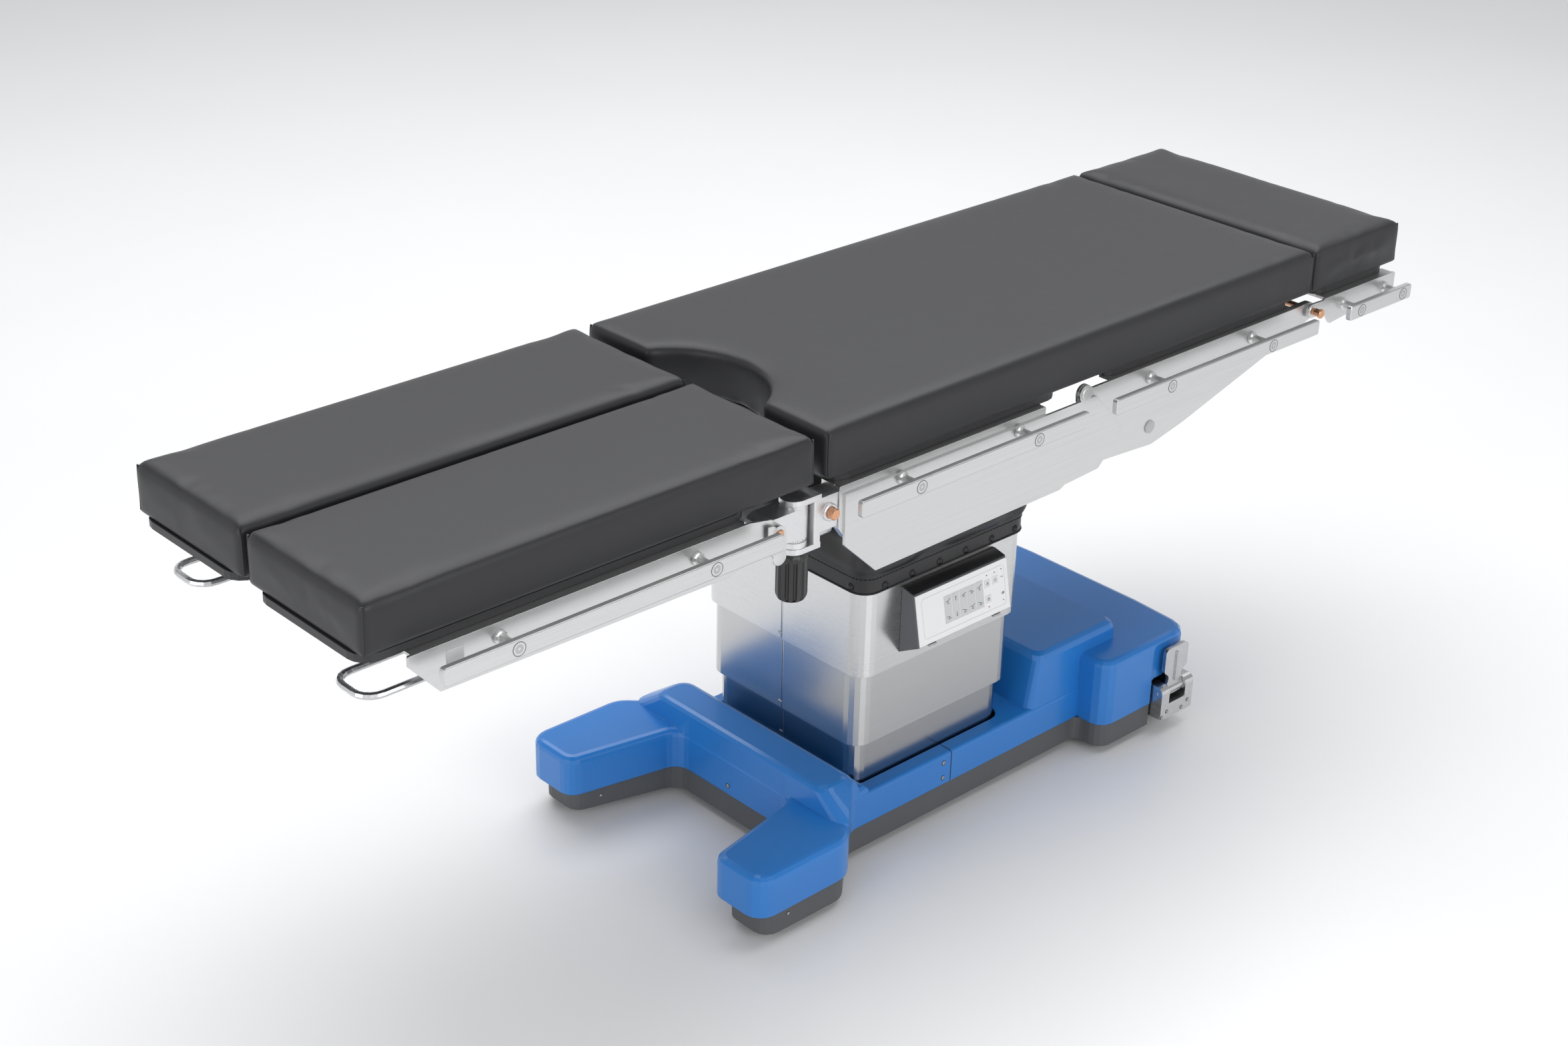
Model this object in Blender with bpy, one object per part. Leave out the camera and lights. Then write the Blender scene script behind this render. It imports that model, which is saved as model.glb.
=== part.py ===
"""Operating table: a forked base on castors, a telescopic column, a tilting table top in five sections.

Metres, +Z up, floor at Z = 0. +X runs towards the head end, -Y is the side with the control panel.
Along X every size is written from the joint between the leg and seat cushions; the whole table then
hangs from an empty that puts the middle of its length over the origin.
R is the -Y side and L the +Y side.
"""
from math import atan2, cos, pi, radians, sin, tan

import bmesh
import bpy
from mathutils import Matrix, Vector

for old in list(bpy.data.objects):
    bpy.data.objects.remove(old, do_unlink=True)

# Clearances
GAP = 0.0003            # seat between two pieces that touch
RUN = 0.0003            # running clearance of a pin in its hole

# Cushions
PAD_TOP = 0.790
PAD_THICK = 0.075
PAD_HALF = 0.260
PAD_EDGE = 0.010
PAD_CORNER = 0.012
LEG_PAD_LENGTH = 0.7315
LEG_PAD_SPLIT = 0.006
SEAT_PAD_START = 0.0147
BACK_PAD_END = 1.1034
HEAD_PAD_START = 1.105
HEAD_PAD_LENGTH = 0.233
LEG_STRIP = 0.060       # end of each leg cushion that squashes against the seat cushion
HEAD_STRIP = 0.060
HINGE_STRIP = 0.0857    # half length of the cushion that bends over the back hinge
CUTOUT_X = -0.047       # centre and radius of the perineal cut-out
CUTOUT_R = 0.139

# Boards under the cushions
BOARD_THICK = 0.011
BOARD_INSET = 0.010
BOARD_CORNER = 0.028
LEG_BOARD_START = -0.728
LEG_BOARD_END = -0.115
LEG_BOARD_INNER = 0.020
SEAT_BOARD_START = 0.038
SEAT_BOARD_END = 0.500
BACK_BOARD_START = 0.600
BACK_BOARD_END = 1.062
HEAD_BOARD_START = 1.125
HEAD_BOARD_END = 1.322

# Side plates and accessory rails
PLATE_PROUD = 0.005     # seat, leg and head plates stand this far outside the cushions
PLATE_WALL = 0.004
BACK_WALL = 0.0045
FLANGE = 0.024
RAIL_HEIGHT = 0.025
RAIL_THICK = 0.010
RAIL_STANDOFF = 0.030
RAIL_DROP = 0.0204      # heights of the top are drops below the frames' top, FRAME_TOP
POST_R = 0.0065
COLLAR_R = 0.0100
COLLAR_LENGTH = 0.006

# Leg joint
PIVOT_X = -0.082
PIVOT_DROP = 0.0304
YOKE_X = -0.028
YOKE_INSET = 0.025      # from the plate's outer face to the middle of the yoke
YOKE_HALF = 0.020
YOKE_DROP = 0.0007
YOKE_HEIGHT = 0.0807
YOKE_ARM = 0.0085
YOKE_WEB = 0.0125
YOKE_END = 0.0055
BARREL_R = 0.0195
KNUCKLE_HALF = 0.0125
KNUCKLE_LENGTH = 0.033  # below the pivot; short enough to pass the yoke with the leg swung out and folded
BUTTON_X = 0.0205
BAIL_X = -0.450
BAIL_END = -0.708
BAIL_DROP = 0.0634
BAIL_INNER = 0.152
BAIL_OUTER = 0.224
BAIL_R = 0.005
KNOB_R = 0.0222
KNOB_LENGTH = 0.072
KNOB_FLUTES = 12

# Seat frame and tilt centre
SEAT_FRAME_START = 0.037
SEAT_FRAME_END = 0.455
BACK_PIVOT_X = 0.541
BACK_PIVOT_DROP = 0.0034
PIVOT_EAR = 0.014
PIVOT_BOSS_R = 0.0100
PIVOT_PIN_R = 0.0070
SEAT_BEAM_DROP = 0.0634
COLUMN_X = 0.355
TILT_DROP = 0.1034
TILT_PIN_X = 0.012      # pins of the tilt cross along X and along Y
TILT_PIN_Y = 0.014

# Head joint
HEAD_PIVOT_X = 1.098
HEAD_PIVOT_DROP = 0.0134
HEAD_STUB_R = 0.0075
HEAD_ROD_R = 0.0050
HEAD_TRAVEL = 0.003

# Column
UPPER_X, UPPER_Y = 0.350, 0.352
MIDDLE_X, MIDDLE_Y = 0.342, 0.334
LOWER_X, LOWER_Y = 0.334, 0.312
COVER_WALL = 0.002
COVER_CORNER = 0.028
UPPER_SHARE = 0.5158    # heights of the shrouds' lower edges, as shares of the column above the deck
MIDDLE_SHARE = 0.1895
MIDDLE_INSIDE = 0.065   # how far each shroud reaches up inside the next
LOWER_INSIDE = 0.160
COLUMN_DROP = 0.110     # from the tilt centre down to the top of the upper shroud
LIFT_DOWN = 0.100
LIP = 0.008
MAST_OUT = 0.085
MAST_IN = 0.075
MAST_WALL = 0.008

# Base
SKIRT_BOTTOM = 0.014
COVER_BOTTOM = 0.055
SHELL = 0.004
FEET_TOP = 0.122
DECK_TOP = 0.110
BAR_TOP = 0.159
HUMP_TOP = 0.2025
BLOCK_TOP = 0.172
EDGE_R = 0.012
DECK_EDGE = 0.006
LAP = 0.002             # how far forms that are joined into one cover run into each other
SEAM_X = 0.380
FOOT_END = -0.103
FOOT_OUT = 0.270
FOOT_IN = 0.167
SIDE_Y = 0.186
FORK_X = 0.090
FORK_IN = 0.130
BLOCK_START = 0.682
BLOCK_END = 0.902
BLOCK_HALF = 0.240
DECK_PLATE = 0.006

# Castors and brake feet
WHEEL_R = 0.025
WHEEL_WIDTH = 0.014
CASTOR_WEB = 0.008
CASTOR_TRAIL = 0.014
TURRET_R = 0.049
TURRET_WALL = 0.0035
TURRET_TOP = 0.099
CASTORS = ((0.022, 0.204), (0.022, -0.204), (0.770, 0.180), (0.770, -0.180))
BRAKE_FOOT_X = 0.122
BRAKE_FOOT_HALF = 0.165
BRAKE_HEAD_X = 0.858
BRAKE_HEAD_HALF = 0.190
BRAKE_BAR_Z = 0.027
BRAKE_LIFT = 0.004
GUIDE_R = 0.005
GUIDE_Y = 0.060

# Brake pedal
PEDAL_X = 0.8485
PEDAL_BLOCK = 0.081
PEDAL_EAR = 0.020
PEDAL_PIN_Z = 0.076
PEDAL_PIN_Y = 0.249
PEDAL_OUT = 0.262
PEDAL_TOP = 0.156

# Control panel
PANEL_START = 0.2597
PANEL_END = 0.4605

PAD_BOTTOM = PAD_TOP - PAD_THICK
BOARD_TOP = PAD_BOTTOM - GAP
BOARD_BOTTOM = BOARD_TOP - BOARD_THICK
FRAME_TOP = BOARD_BOTTOM - GAP
HEAD_PAD_END = HEAD_PAD_START + HEAD_PAD_LENGTH
MIDDLE_OF_TABLE = (HEAD_PAD_END - LEG_PAD_LENGTH) / 2
BOARD_HALF = PAD_HALF - BOARD_INSET
PLATE_OUT = PAD_HALF + PLATE_PROUD
RAIL_Z = FRAME_TOP - RAIL_DROP
RAIL_LOW = RAIL_Z - RAIL_HEIGHT / 2
RAIL_BACK = PLATE_OUT + RAIL_STANDOFF
RAIL_FRONT = RAIL_BACK + RAIL_THICK
BACK_OUT = PLATE_OUT - PLATE_WALL - GAP
BACK_IN = BACK_OUT - BACK_WALL
SEAT_BEAM_OUT = PLATE_OUT - 0.013
SEAT_BEAM_IN = PLATE_OUT - 0.040
PIVOT_Z = FRAME_TOP - PIVOT_DROP
YOKE_Y = PLATE_OUT - YOKE_INSET
YOKE_TOP = FRAME_TOP - YOKE_DROP
YOKE_BOTTOM = YOKE_TOP - YOKE_HEIGHT
BUTTON_Z = PIVOT_Z - 0.002
BAIL_Z = FRAME_TOP - BAIL_DROP
BACK_PIVOT_Z = FRAME_TOP - BACK_PIVOT_DROP
HEAD_PIVOT_Z = FRAME_TOP - HEAD_PIVOT_DROP
TILT_Z = FRAME_TOP - TILT_DROP
UPPER_TOP = TILT_Z - COLUMN_DROP
COLUMN_HEIGHT = UPPER_TOP - DECK_TOP
UPPER_BOTTOM = DECK_TOP + UPPER_SHARE * COLUMN_HEIGHT
MIDDLE_BOTTOM = DECK_TOP + MIDDLE_SHARE * COLUMN_HEIGHT
MIDDLE_TOP = UPPER_TOP - MIDDLE_INSIDE
LOWER_TOP = UPPER_TOP - LOWER_INSIDE
MAST_HEAD = UPPER_TOP - 0.010


def paint(name, colour, roughness, metallic=0.0):
    """One Principled material."""
    material = bpy.data.materials.new(name)
    material.use_nodes = True
    shader = material.node_tree.nodes["Principled BSDF"]
    shader.inputs["Base Color"].default_value = (*colour, 1.0)
    shader.inputs["Roughness"].default_value = roughness
    shader.inputs["Metallic"].default_value = metallic
    return material


STEEL = paint("brushed_stainless", (0.62, 0.62, 0.61), 0.35, 1.0)
ALUMINIUM = paint("cast_aluminium", (0.72, 0.72, 0.73), 0.42, 1.0)
CHROME = paint("polished_steel", (0.78, 0.78, 0.78), 0.12, 1.0)
COPPER = paint("copper_button", (0.72, 0.36, 0.20), 0.25, 1.0)
BLUE = paint("blue_cover", (0.05, 0.20, 0.58), 0.38)
SKIRT = paint("grey_chassis", (0.09, 0.095, 0.10), 0.55)
VINYL = paint("black_vinyl", (0.045, 0.045, 0.05), 0.42)
BOARD = paint("black_laminate", (0.02, 0.02, 0.02), 0.50)
LEATHERETTE = paint("boot_leatherette", (0.02, 0.02, 0.02), 0.48)
PLASTIC = paint("black_plastic", (0.025, 0.025, 0.027), 0.40)
HOUSING = paint("grey_housing", (0.13, 0.135, 0.15), 0.45)
RUBBER = paint("wheel_rubber", (0.05, 0.05, 0.05), 0.75)


# Shapes

def arc(cx, cy, r, start, end, steps):
    """Points of an arc, angles in degrees, both ends included."""
    angles = [radians(start + (end - start) * i / steps) for i in range(steps + 1)]
    return [(cx + r * cos(a), cy + r * sin(a)) for a in angles]


def fillet(corners, steps=4):
    """Outline of (x, y, radius) corners, given anticlockwise, with each corner rounded."""
    outline = []
    count = len(corners)
    for i, (x, y, r) in enumerate(corners):
        here = Vector((x, y))
        before = (Vector(corners[i - 1][:2]) - here).normalized()
        after = (Vector(corners[(i + 1) % count][:2]) - here).normalized()
        angle = before.angle(after, pi)
        if r < 1e-5 or pi - angle < 0.02:
            outline.append((x, y))
            continue
        centre = here + (before + after).normalized() * (r / sin(angle / 2))
        run = r / tan(angle / 2)
        first = here + before * run - centre
        last = here + after * run - centre
        a0 = atan2(first.y, first.x)
        turn = (atan2(last.y, last.x) - a0 + pi) % (2 * pi) - pi
        for k in range(steps + 1):
            a = a0 + turn * k / steps
            outline.append((centre.x + r * cos(a), centre.y + r * sin(a)))
    return outline


def inset(corners, distance):
    """The same anticlockwise corners with every edge moved inwards, radii following."""
    moved = []
    count = len(corners)
    for i, (x, y, r) in enumerate(corners):
        here = Vector((x, y))
        before = (here - Vector(corners[i - 1][:2])).normalized()
        after = (Vector(corners[(i + 1) % count][:2]) - here).normalized()
        n0 = Vector((-before.y, before.x))
        n1 = Vector((-after.y, after.x))
        cross = before.x * after.y - before.y * after.x
        shift = (n0 + n1) * (distance / (1 + n0.dot(n1)))
        radius = r - distance if cross > 0 else r + distance
        moved.append((x + shift.x, y + shift.y, max(radius, 0.001) if r > 0 else 0.0))
    return moved


def mirrored(corners):
    """Half of an outline (its -Y half, going anticlockwise) made whole about Y = 0."""
    return corners + [(x, -y, r) for x, y, r in reversed(corners)]


def rectangle(x0, x1, y0, y1, r=0.0):
    return [(x0, y0, r), (x1, y0, r), (x1, y1, r), (x0, y1, r)]


def hung(corners):
    """Corners of a plate of the table top, each given by its drop below the frames' top."""
    return [(x, FRAME_TOP - drop, r) for x, drop, r in corners]


def solid(bm, name="solid"):
    """Object of a finished bmesh, faces out."""
    bmesh.ops.recalc_face_normals(bm, faces=bm.faces)
    mesh = bpy.data.meshes.new(name)
    bm.to_mesh(mesh)
    bm.free()
    made = bpy.data.objects.new(name, mesh)
    bpy.context.scene.collection.objects.link(made)
    return made


def loft(levels):
    """Closed solid through outlines of equal point counts: levels are lists of 3-D points."""
    bm = bmesh.new()
    rings = [[bm.verts.new(p) for p in level] for level in levels]
    for low, high in zip(rings, rings[1:]):
        count = len(low)
        for i in range(count):
            j = (i + 1) % count
            bm.faces.new((low[i], low[j], high[j], high[i]))
    bm.faces.new(list(reversed(rings[0])))
    bm.faces.new(rings[-1])
    return solid(bm)


def prism(corners, z0, z1, steps=4):
    """Upright prism of a rounded outline."""
    outline = fillet(corners, steps)
    return loft([[(x, y, z) for x, y in outline] for z in (z0, z1)])


def domed(corners, z0, z1, edge, steps=4, rounds=3):
    """Upright prism whose top edge is rounded."""
    levels = [(0.0, z0)]
    for k in range(rounds + 1):
        a = pi / 2 * k / rounds
        levels.append((edge * (1 - cos(a)), z1 - edge + edge * sin(a)))
    return loft([[(x, y, z) for x, y in fillet(inset(corners, d), steps)] for d, z in levels])


def plate(corners, y0, y1, steps=4):
    """Flat plate standing in an XZ plane, between two values of Y."""
    outline = fillet(corners, steps)
    return loft([[(x, y, z) for x, z in outline] for y in (y0, y1)])


def box(x0, x1, y0, y1, z0, z1):
    return prism(rectangle(x0, x1, min(y0, y1), max(y0, y1)), z0, z1)


def across(along):
    """Two directions square to an axis, the first one level."""
    side = Vector((1, 0, 0)) if abs(along.z) > 0.9 else along.cross(Vector((0, 0, 1))).normalized()
    return side, along.cross(side)


def rod(start, end, r, sides=24, r_end=None):
    """Cylinder or cone between two points."""
    a, b = Vector(start), Vector(end)
    side, up = across((b - a).normalized())
    rings = []
    for point, radius in ((a, r), (b, r if r_end is None else r_end)):
        turns = [2 * pi * i / sides for i in range(sides)]
        rings.append([point + side * (radius * cos(t)) + up * (radius * sin(t)) for t in turns])
    return loft(rings)


def turned(profile, centre, axis, sides=24):
    """Solid of revolution: profile is (radius, distance along the axis), first and last on flat ends."""
    along = Vector(axis).normalized()
    side, up = across(along)
    rings = []
    for radius, distance in profile:
        middle = Vector(centre) + along * distance
        turns = [2 * pi * i / sides for i in range(sides)]
        rings.append([middle + side * (radius * cos(t)) + up * (radius * sin(t)) for t in turns])
    return loft(rings)


def boolean(target, tools, operation):
    """Joins the tools to the target, or cuts them from it, and clears them away."""
    for tool in tools:
        modifier = target.modifiers.new("join", "BOOLEAN")
        modifier.operation = operation
        modifier.solver = "EXACT"
        modifier.object = tool
        graph = bpy.context.evaluated_depsgraph_get()
        mesh = bpy.data.meshes.new_from_object(target.evaluated_get(graph))
        target.modifiers.clear()
        target.data = mesh
        bpy.data.objects.remove(tool, do_unlink=True)
    return target


def union(*pieces):
    return boolean(pieces[0], pieces[1:], "UNION")


def cut(target, *tools):
    return boolean(target, tools, "DIFFERENCE")


def common(target, *tools):
    return boolean(target, tools, "INTERSECT")


def beside(first, *others):
    """Puts solids that don't touch into one object."""
    bm = bmesh.new()
    for piece in (first, *others):
        bm.from_mesh(piece.data)
    bm.to_mesh(first.data)
    bm.free()
    for piece in others:
        bpy.data.objects.remove(piece, do_unlink=True)
    return first


def flipped(piece):
    """Copy of a piece on the other side of the table."""
    other = piece.copy()
    other.data = piece.data.copy()
    bpy.context.scene.collection.objects.link(other)
    other.data.transform(Matrix.Scale(-1, 4, (0, 1, 0)))
    other.data.flip_normals()
    return other


def both(piece):
    """A piece and its mirror image across the table, in one object."""
    return beside(piece, flipped(piece))


# Where things hang: one empty for each joint

PLACES = {}


def joint(name, parent, x, y, z):
    """Empty on a joint's axis, under the empty of the piece that carries it."""
    empty = bpy.data.objects.new(name, None)
    bpy.context.scene.collection.objects.link(empty)
    above = Vector((MIDDLE_OF_TABLE, 0, 0))
    if parent:
        empty.parent = parent
        above = PLACES[parent.name]
    place = Vector((x, y, z))
    empty.location = place - above
    PLACES[name] = place
    return empty


def finish(piece, name, material, carrier):
    """Names and paints a piece, and hangs it from its joint's empty with its origin there."""
    piece.name = name
    piece.data.name = name
    piece.data.materials.clear()
    piece.data.materials.append(material)
    place = PLACES[carrier.name]
    piece.data.transform(Matrix.Translation(-place))
    piece.data.shade_smooth()
    piece.data.set_sharp_from_angle(angle=radians(32))
    piece.parent = carrier
    return piece


floor = joint("floor_line", None, 0.0, 0.0, 0.0)
lift_middle = joint("lift_middle", floor, COLUMN_X, 0.0, MIDDLE_BOTTOM)
lift_top = joint("lift_top", floor, COLUMN_X, 0.0, UPPER_BOTTOM)
tilt_end = joint("tilt_end_to_end", lift_top, COLUMN_X, 0.0, TILT_Z)
tilt_side = joint("tilt_side_to_side", tilt_end, COLUMN_X, 0.0, TILT_Z)
back_hinge = joint("back_hinge", tilt_side, BACK_PIVOT_X, 0.0, BACK_PIVOT_Z)
head_hinge = joint("head_hinge", back_hinge, HEAD_PIVOT_X, 0.0, HEAD_PIVOT_Z)


# Base: covers, chassis, castors and brake

def feet_corners():
    """Plan of the two feet and of the bar between them."""
    return mirrored([
        (FORK_X, -FORK_IN, 0.028), (FOOT_END, -FOOT_IN, 0.026), (FOOT_END, -FOOT_OUT, 0.030),
        (0.075, -FOOT_OUT + 0.002, 0.050), (0.160, -SIDE_Y, 0.040), (0.200, -SIDE_Y + LAP, 0.0)])


def block_corners():
    """Plan of the wide block at the head end, its end slightly bowed."""
    bow = 0.008
    return mirrored([
        (BLOCK_START, -BLOCK_HALF, 0.026), (BLOCK_END - bow, -BLOCK_HALF, 0.036),
        (BLOCK_END, -BLOCK_HALF / 2, 0.30)])


def bar(depth, low):
    """Raised bar across the fork, a block whose ends and head side slope, set in by depth."""
    levels = []
    for x0, x1, half, z, r in (
            (FORK_X - 0.004, 0.182, 0.268, low, 0.030), (FORK_X - 0.002, 0.180, 0.245, FEET_TOP, 0.028),
            (FORK_X + 0.001, 0.160, 0.197, BAR_TOP - EDGE_R / 2, 0.022),
            (FORK_X + 0.005, 0.155, 0.191, BAR_TOP - EDGE_R / 6, 0.020),
            (FORK_X + 0.011, 0.149, 0.185, BAR_TOP, 0.018)):
        corners = inset(rectangle(x0, x1, -half, half, r), depth)
        levels.append([(x, y, z - depth if z > low else z) for x, y in fillet(corners)])
    return loft(levels)


def hump(depth, low):
    """Raised part of the cover behind the column, riser and head side sloped, set in by depth."""
    levels = []
    for x0, x1, half, z, r in (
            (0.560, 0.786, SIDE_Y - LAP, low, 0.014), (0.563, 0.782, SIDE_Y - LAP, DECK_TOP, 0.014),
            (0.580, 0.773, SIDE_Y - 0.004, HUMP_TOP - EDGE_R, 0.014),
            (0.583, 0.770, SIDE_Y - 0.008, HUMP_TOP - EDGE_R / 3, 0.014),
            (0.589, 0.765, SIDE_Y - 0.015, HUMP_TOP, 0.014)):
        corners = inset(rectangle(x0, x1, -half, half, r), depth)
        levels.append([(x, y, z - depth if z > low else z) for x, y in fillet(corners, 3)])
    return loft(levels)


def foot_form(depth, low):
    """Outer form of the foot-end cover, or its inner face when set in by depth."""
    edge = EDGE_R - depth if depth else EDGE_R
    feet = domed(inset(feet_corners(), depth), low, FEET_TOP - depth, edge)
    within = prism(inset(feet_corners(), depth + LAP / 2), low - LAP, BAR_TOP + LAP)
    raised = common(bar(depth, low), within)
    deck = domed(rectangle(0.150, SEAM_X + 0.05, -SIDE_Y + depth, SIDE_Y - depth), low, DECK_TOP - depth,
                 DECK_EDGE - depth)
    return union(feet, raised, deck)


def head_form(depth, low):
    """Outer form of the head-end cover, or its inner face when set in by depth."""
    edge = EDGE_R - depth if depth else EDGE_R
    deck = domed(rectangle(SEAM_X - 0.05, 0.720, -SIDE_Y + depth, SIDE_Y - depth), low, DECK_TOP - depth,
                 DECK_EDGE - depth)
    block = domed(inset(block_corners(), depth), low, BLOCK_TOP - depth, edge, steps=3)
    return union(deck, hump(depth, low), block)


def column_hole(z0, z1):
    """Opening of the covers round the lower shroud."""
    clear = 0.004
    half_x = LOWER_X / 2 + clear
    half_y = LOWER_Y / 2 + clear
    return prism(rectangle(COLUMN_X - half_x, COLUMN_X + half_x, -half_y, half_y, COVER_CORNER), z0, z1)


def pedal_window(depth, z0, z1, margin):
    """Space cut for the pedal block through the near side, depth inwards from its outer face."""
    half = PEDAL_BLOCK / 2 + margin
    corners = rectangle(PEDAL_X - half, PEDAL_X + half, z0, z1, 0.010)
    return plate(corners, -BLOCK_HALF - 0.03, -BLOCK_HALF + depth)


def build_covers():
    """Two blue shells that meet beside the column."""
    foot_side = box(-1, SEAM_X, -1, 1, 0, 1)
    foot = common(cut(foot_form(0.0, COVER_BOTTOM), foot_form(SHELL, 0.0)), foot_side)
    foot = cut(foot, column_hole(0.0, 0.3))
    finish(foot, "base_cover_foot", BLUE, floor)
    head_side = box(SEAM_X + GAP, 2, -1, 1, 0, 1)
    head = common(cut(head_form(0.0, COVER_BOTTOM), head_form(SHELL, 0.0)), head_side)
    dent = plate(rectangle(PEDAL_X - 0.045, PEDAL_X + 0.024, 0.090, 0.163, 0.010),
                 -BLOCK_HALF - 0.03, -BLOCK_HALF + 0.0025)
    head = cut(head, column_hole(0.0, 0.3), pedal_window(0.030, 0.0, 0.100, 0.0035), dent)
    finish(head, "base_cover_head", BLUE, floor)


def skirt_corners(depth):
    """Plan of the chassis, a little inside the covers and well back from the ends of the feet."""
    flush = 0.0015
    back = 0.019
    outer = FOOT_OUT - 0.007
    return inset(mirrored([
        (FORK_X, -FORK_IN - 0.003, 0.026), (FOOT_END + back, -FOOT_IN - 0.012, 0.024),
        (FOOT_END + back, -outer, 0.026), (0.072, -outer, 0.044), (0.155, -SIDE_Y, 0.040),
        (BLOCK_START, -SIDE_Y, 0.014), (BLOCK_START, -BLOCK_HALF, 0.026),
        (BLOCK_END - 0.008, -BLOCK_HALF, 0.036), (BLOCK_END, -BLOCK_HALF / 2, 0.30)]), flush + depth)


def build_chassis():
    """Grey welded chassis: skirt, deck plate, castor turrets, brake bushes and the fixed mast tube."""
    top = COVER_BOTTOM - GAP
    skirt = prism(skirt_corners(0.0), SKIRT_BOTTOM, top)
    under = top - DECK_PLATE
    skirt = cut(skirt, prism(skirt_corners(0.005), 0.0, under))
    for x, y in CASTORS:
        skirt = union(skirt, rod((x, y, under), (x, y, TURRET_TOP), TURRET_R, 24))
    for x in (BRAKE_FOOT_X, BRAKE_HEAD_X):
        for y in (-GUIDE_Y, GUIDE_Y):
            skirt = union(skirt, rod((x, y, 0.018), (x, y, under + 0.001), GUIDE_R, 12))
    half = MAST_OUT
    mast_top = MAST_HEAD - LIFT_DOWN - 0.005
    skirt = union(skirt, prism(rectangle(COLUMN_X - half, COLUMN_X + half, -half, half, 0.012), under,
                               mast_top))
    tools = [prism(rectangle(COLUMN_X - half + MAST_WALL, COLUMN_X + half - MAST_WALL,
                             -half + MAST_WALL, half - MAST_WALL, 0.006), 0.0, UPPER_TOP)]
    for x, y in CASTORS:
        tools.append(rod((x, y, 0.0), (x, y, TURRET_TOP - 0.005), TURRET_R - TURRET_WALL, 24))
    tools.append(pedal_window(0.0255, 0.0, 0.099, 0.003))
    skirt = cut(skirt, *tools)
    finish(skirt, "base_chassis", SKIRT, floor)


def build_castor(index, x, y):
    """Twin-wheel castor: stem and web in one piece, two wheels on one axle."""
    swivel = joint(f"castor_swivel_{index}", floor, x, y, 0.0)
    axle = joint(f"castor_axle_{index}", swivel, x + CASTOR_TRAIL, y, WHEEL_R)
    half = CASTOR_WEB / 2
    web = plate([(x - 0.012, 0.050, 0.004), (x + CASTOR_TRAIL - 0.008, 0.018, 0.007),
                 (x + CASTOR_TRAIL + 0.008, 0.018, 0.007), (x + 0.012, 0.060, 0.004),
                 (x - 0.012, 0.060, 0.0)], y - half, y + half, steps=3)
    head = turned([(0.018, 0.0), (0.018, 0.004), (0.009, 0.006), (0.009, TURRET_TOP - 0.005 - GAP - 0.058)],
                  (x, y, 0.058), (0, 0, 1), 12)
    centre = Vector((x + CASTOR_TRAIL, y, WHEEL_R))
    sideways = Vector((0, 1, 0))
    fork = union(web, head)
    fork = cut(fork, rod(centre - sideways * 0.02, centre + sideways * 0.02, 0.004 + RUN, 12))
    finish(fork, f"castor_fork_{index}", CHROME, swivel)
    reach = half + 0.0006
    rim = 0.003
    wheels = []
    for side in (-1, 1):
        wheels.append(turned([(WHEEL_R - rim, 0.0), (WHEEL_R, rim), (WHEEL_R, WHEEL_WIDTH - rim),
                              (WHEEL_R - rim, WHEEL_WIDTH)],
                             centre + sideways * (side * reach), sideways * side, 20))
    pin = rod(centre - sideways * (reach + 0.004), centre + sideways * (reach + 0.004), 0.004, 12)
    finish(union(wheels[0], pin, wheels[1]), f"castor_wheels_{index}", RUBBER, axle)


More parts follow.
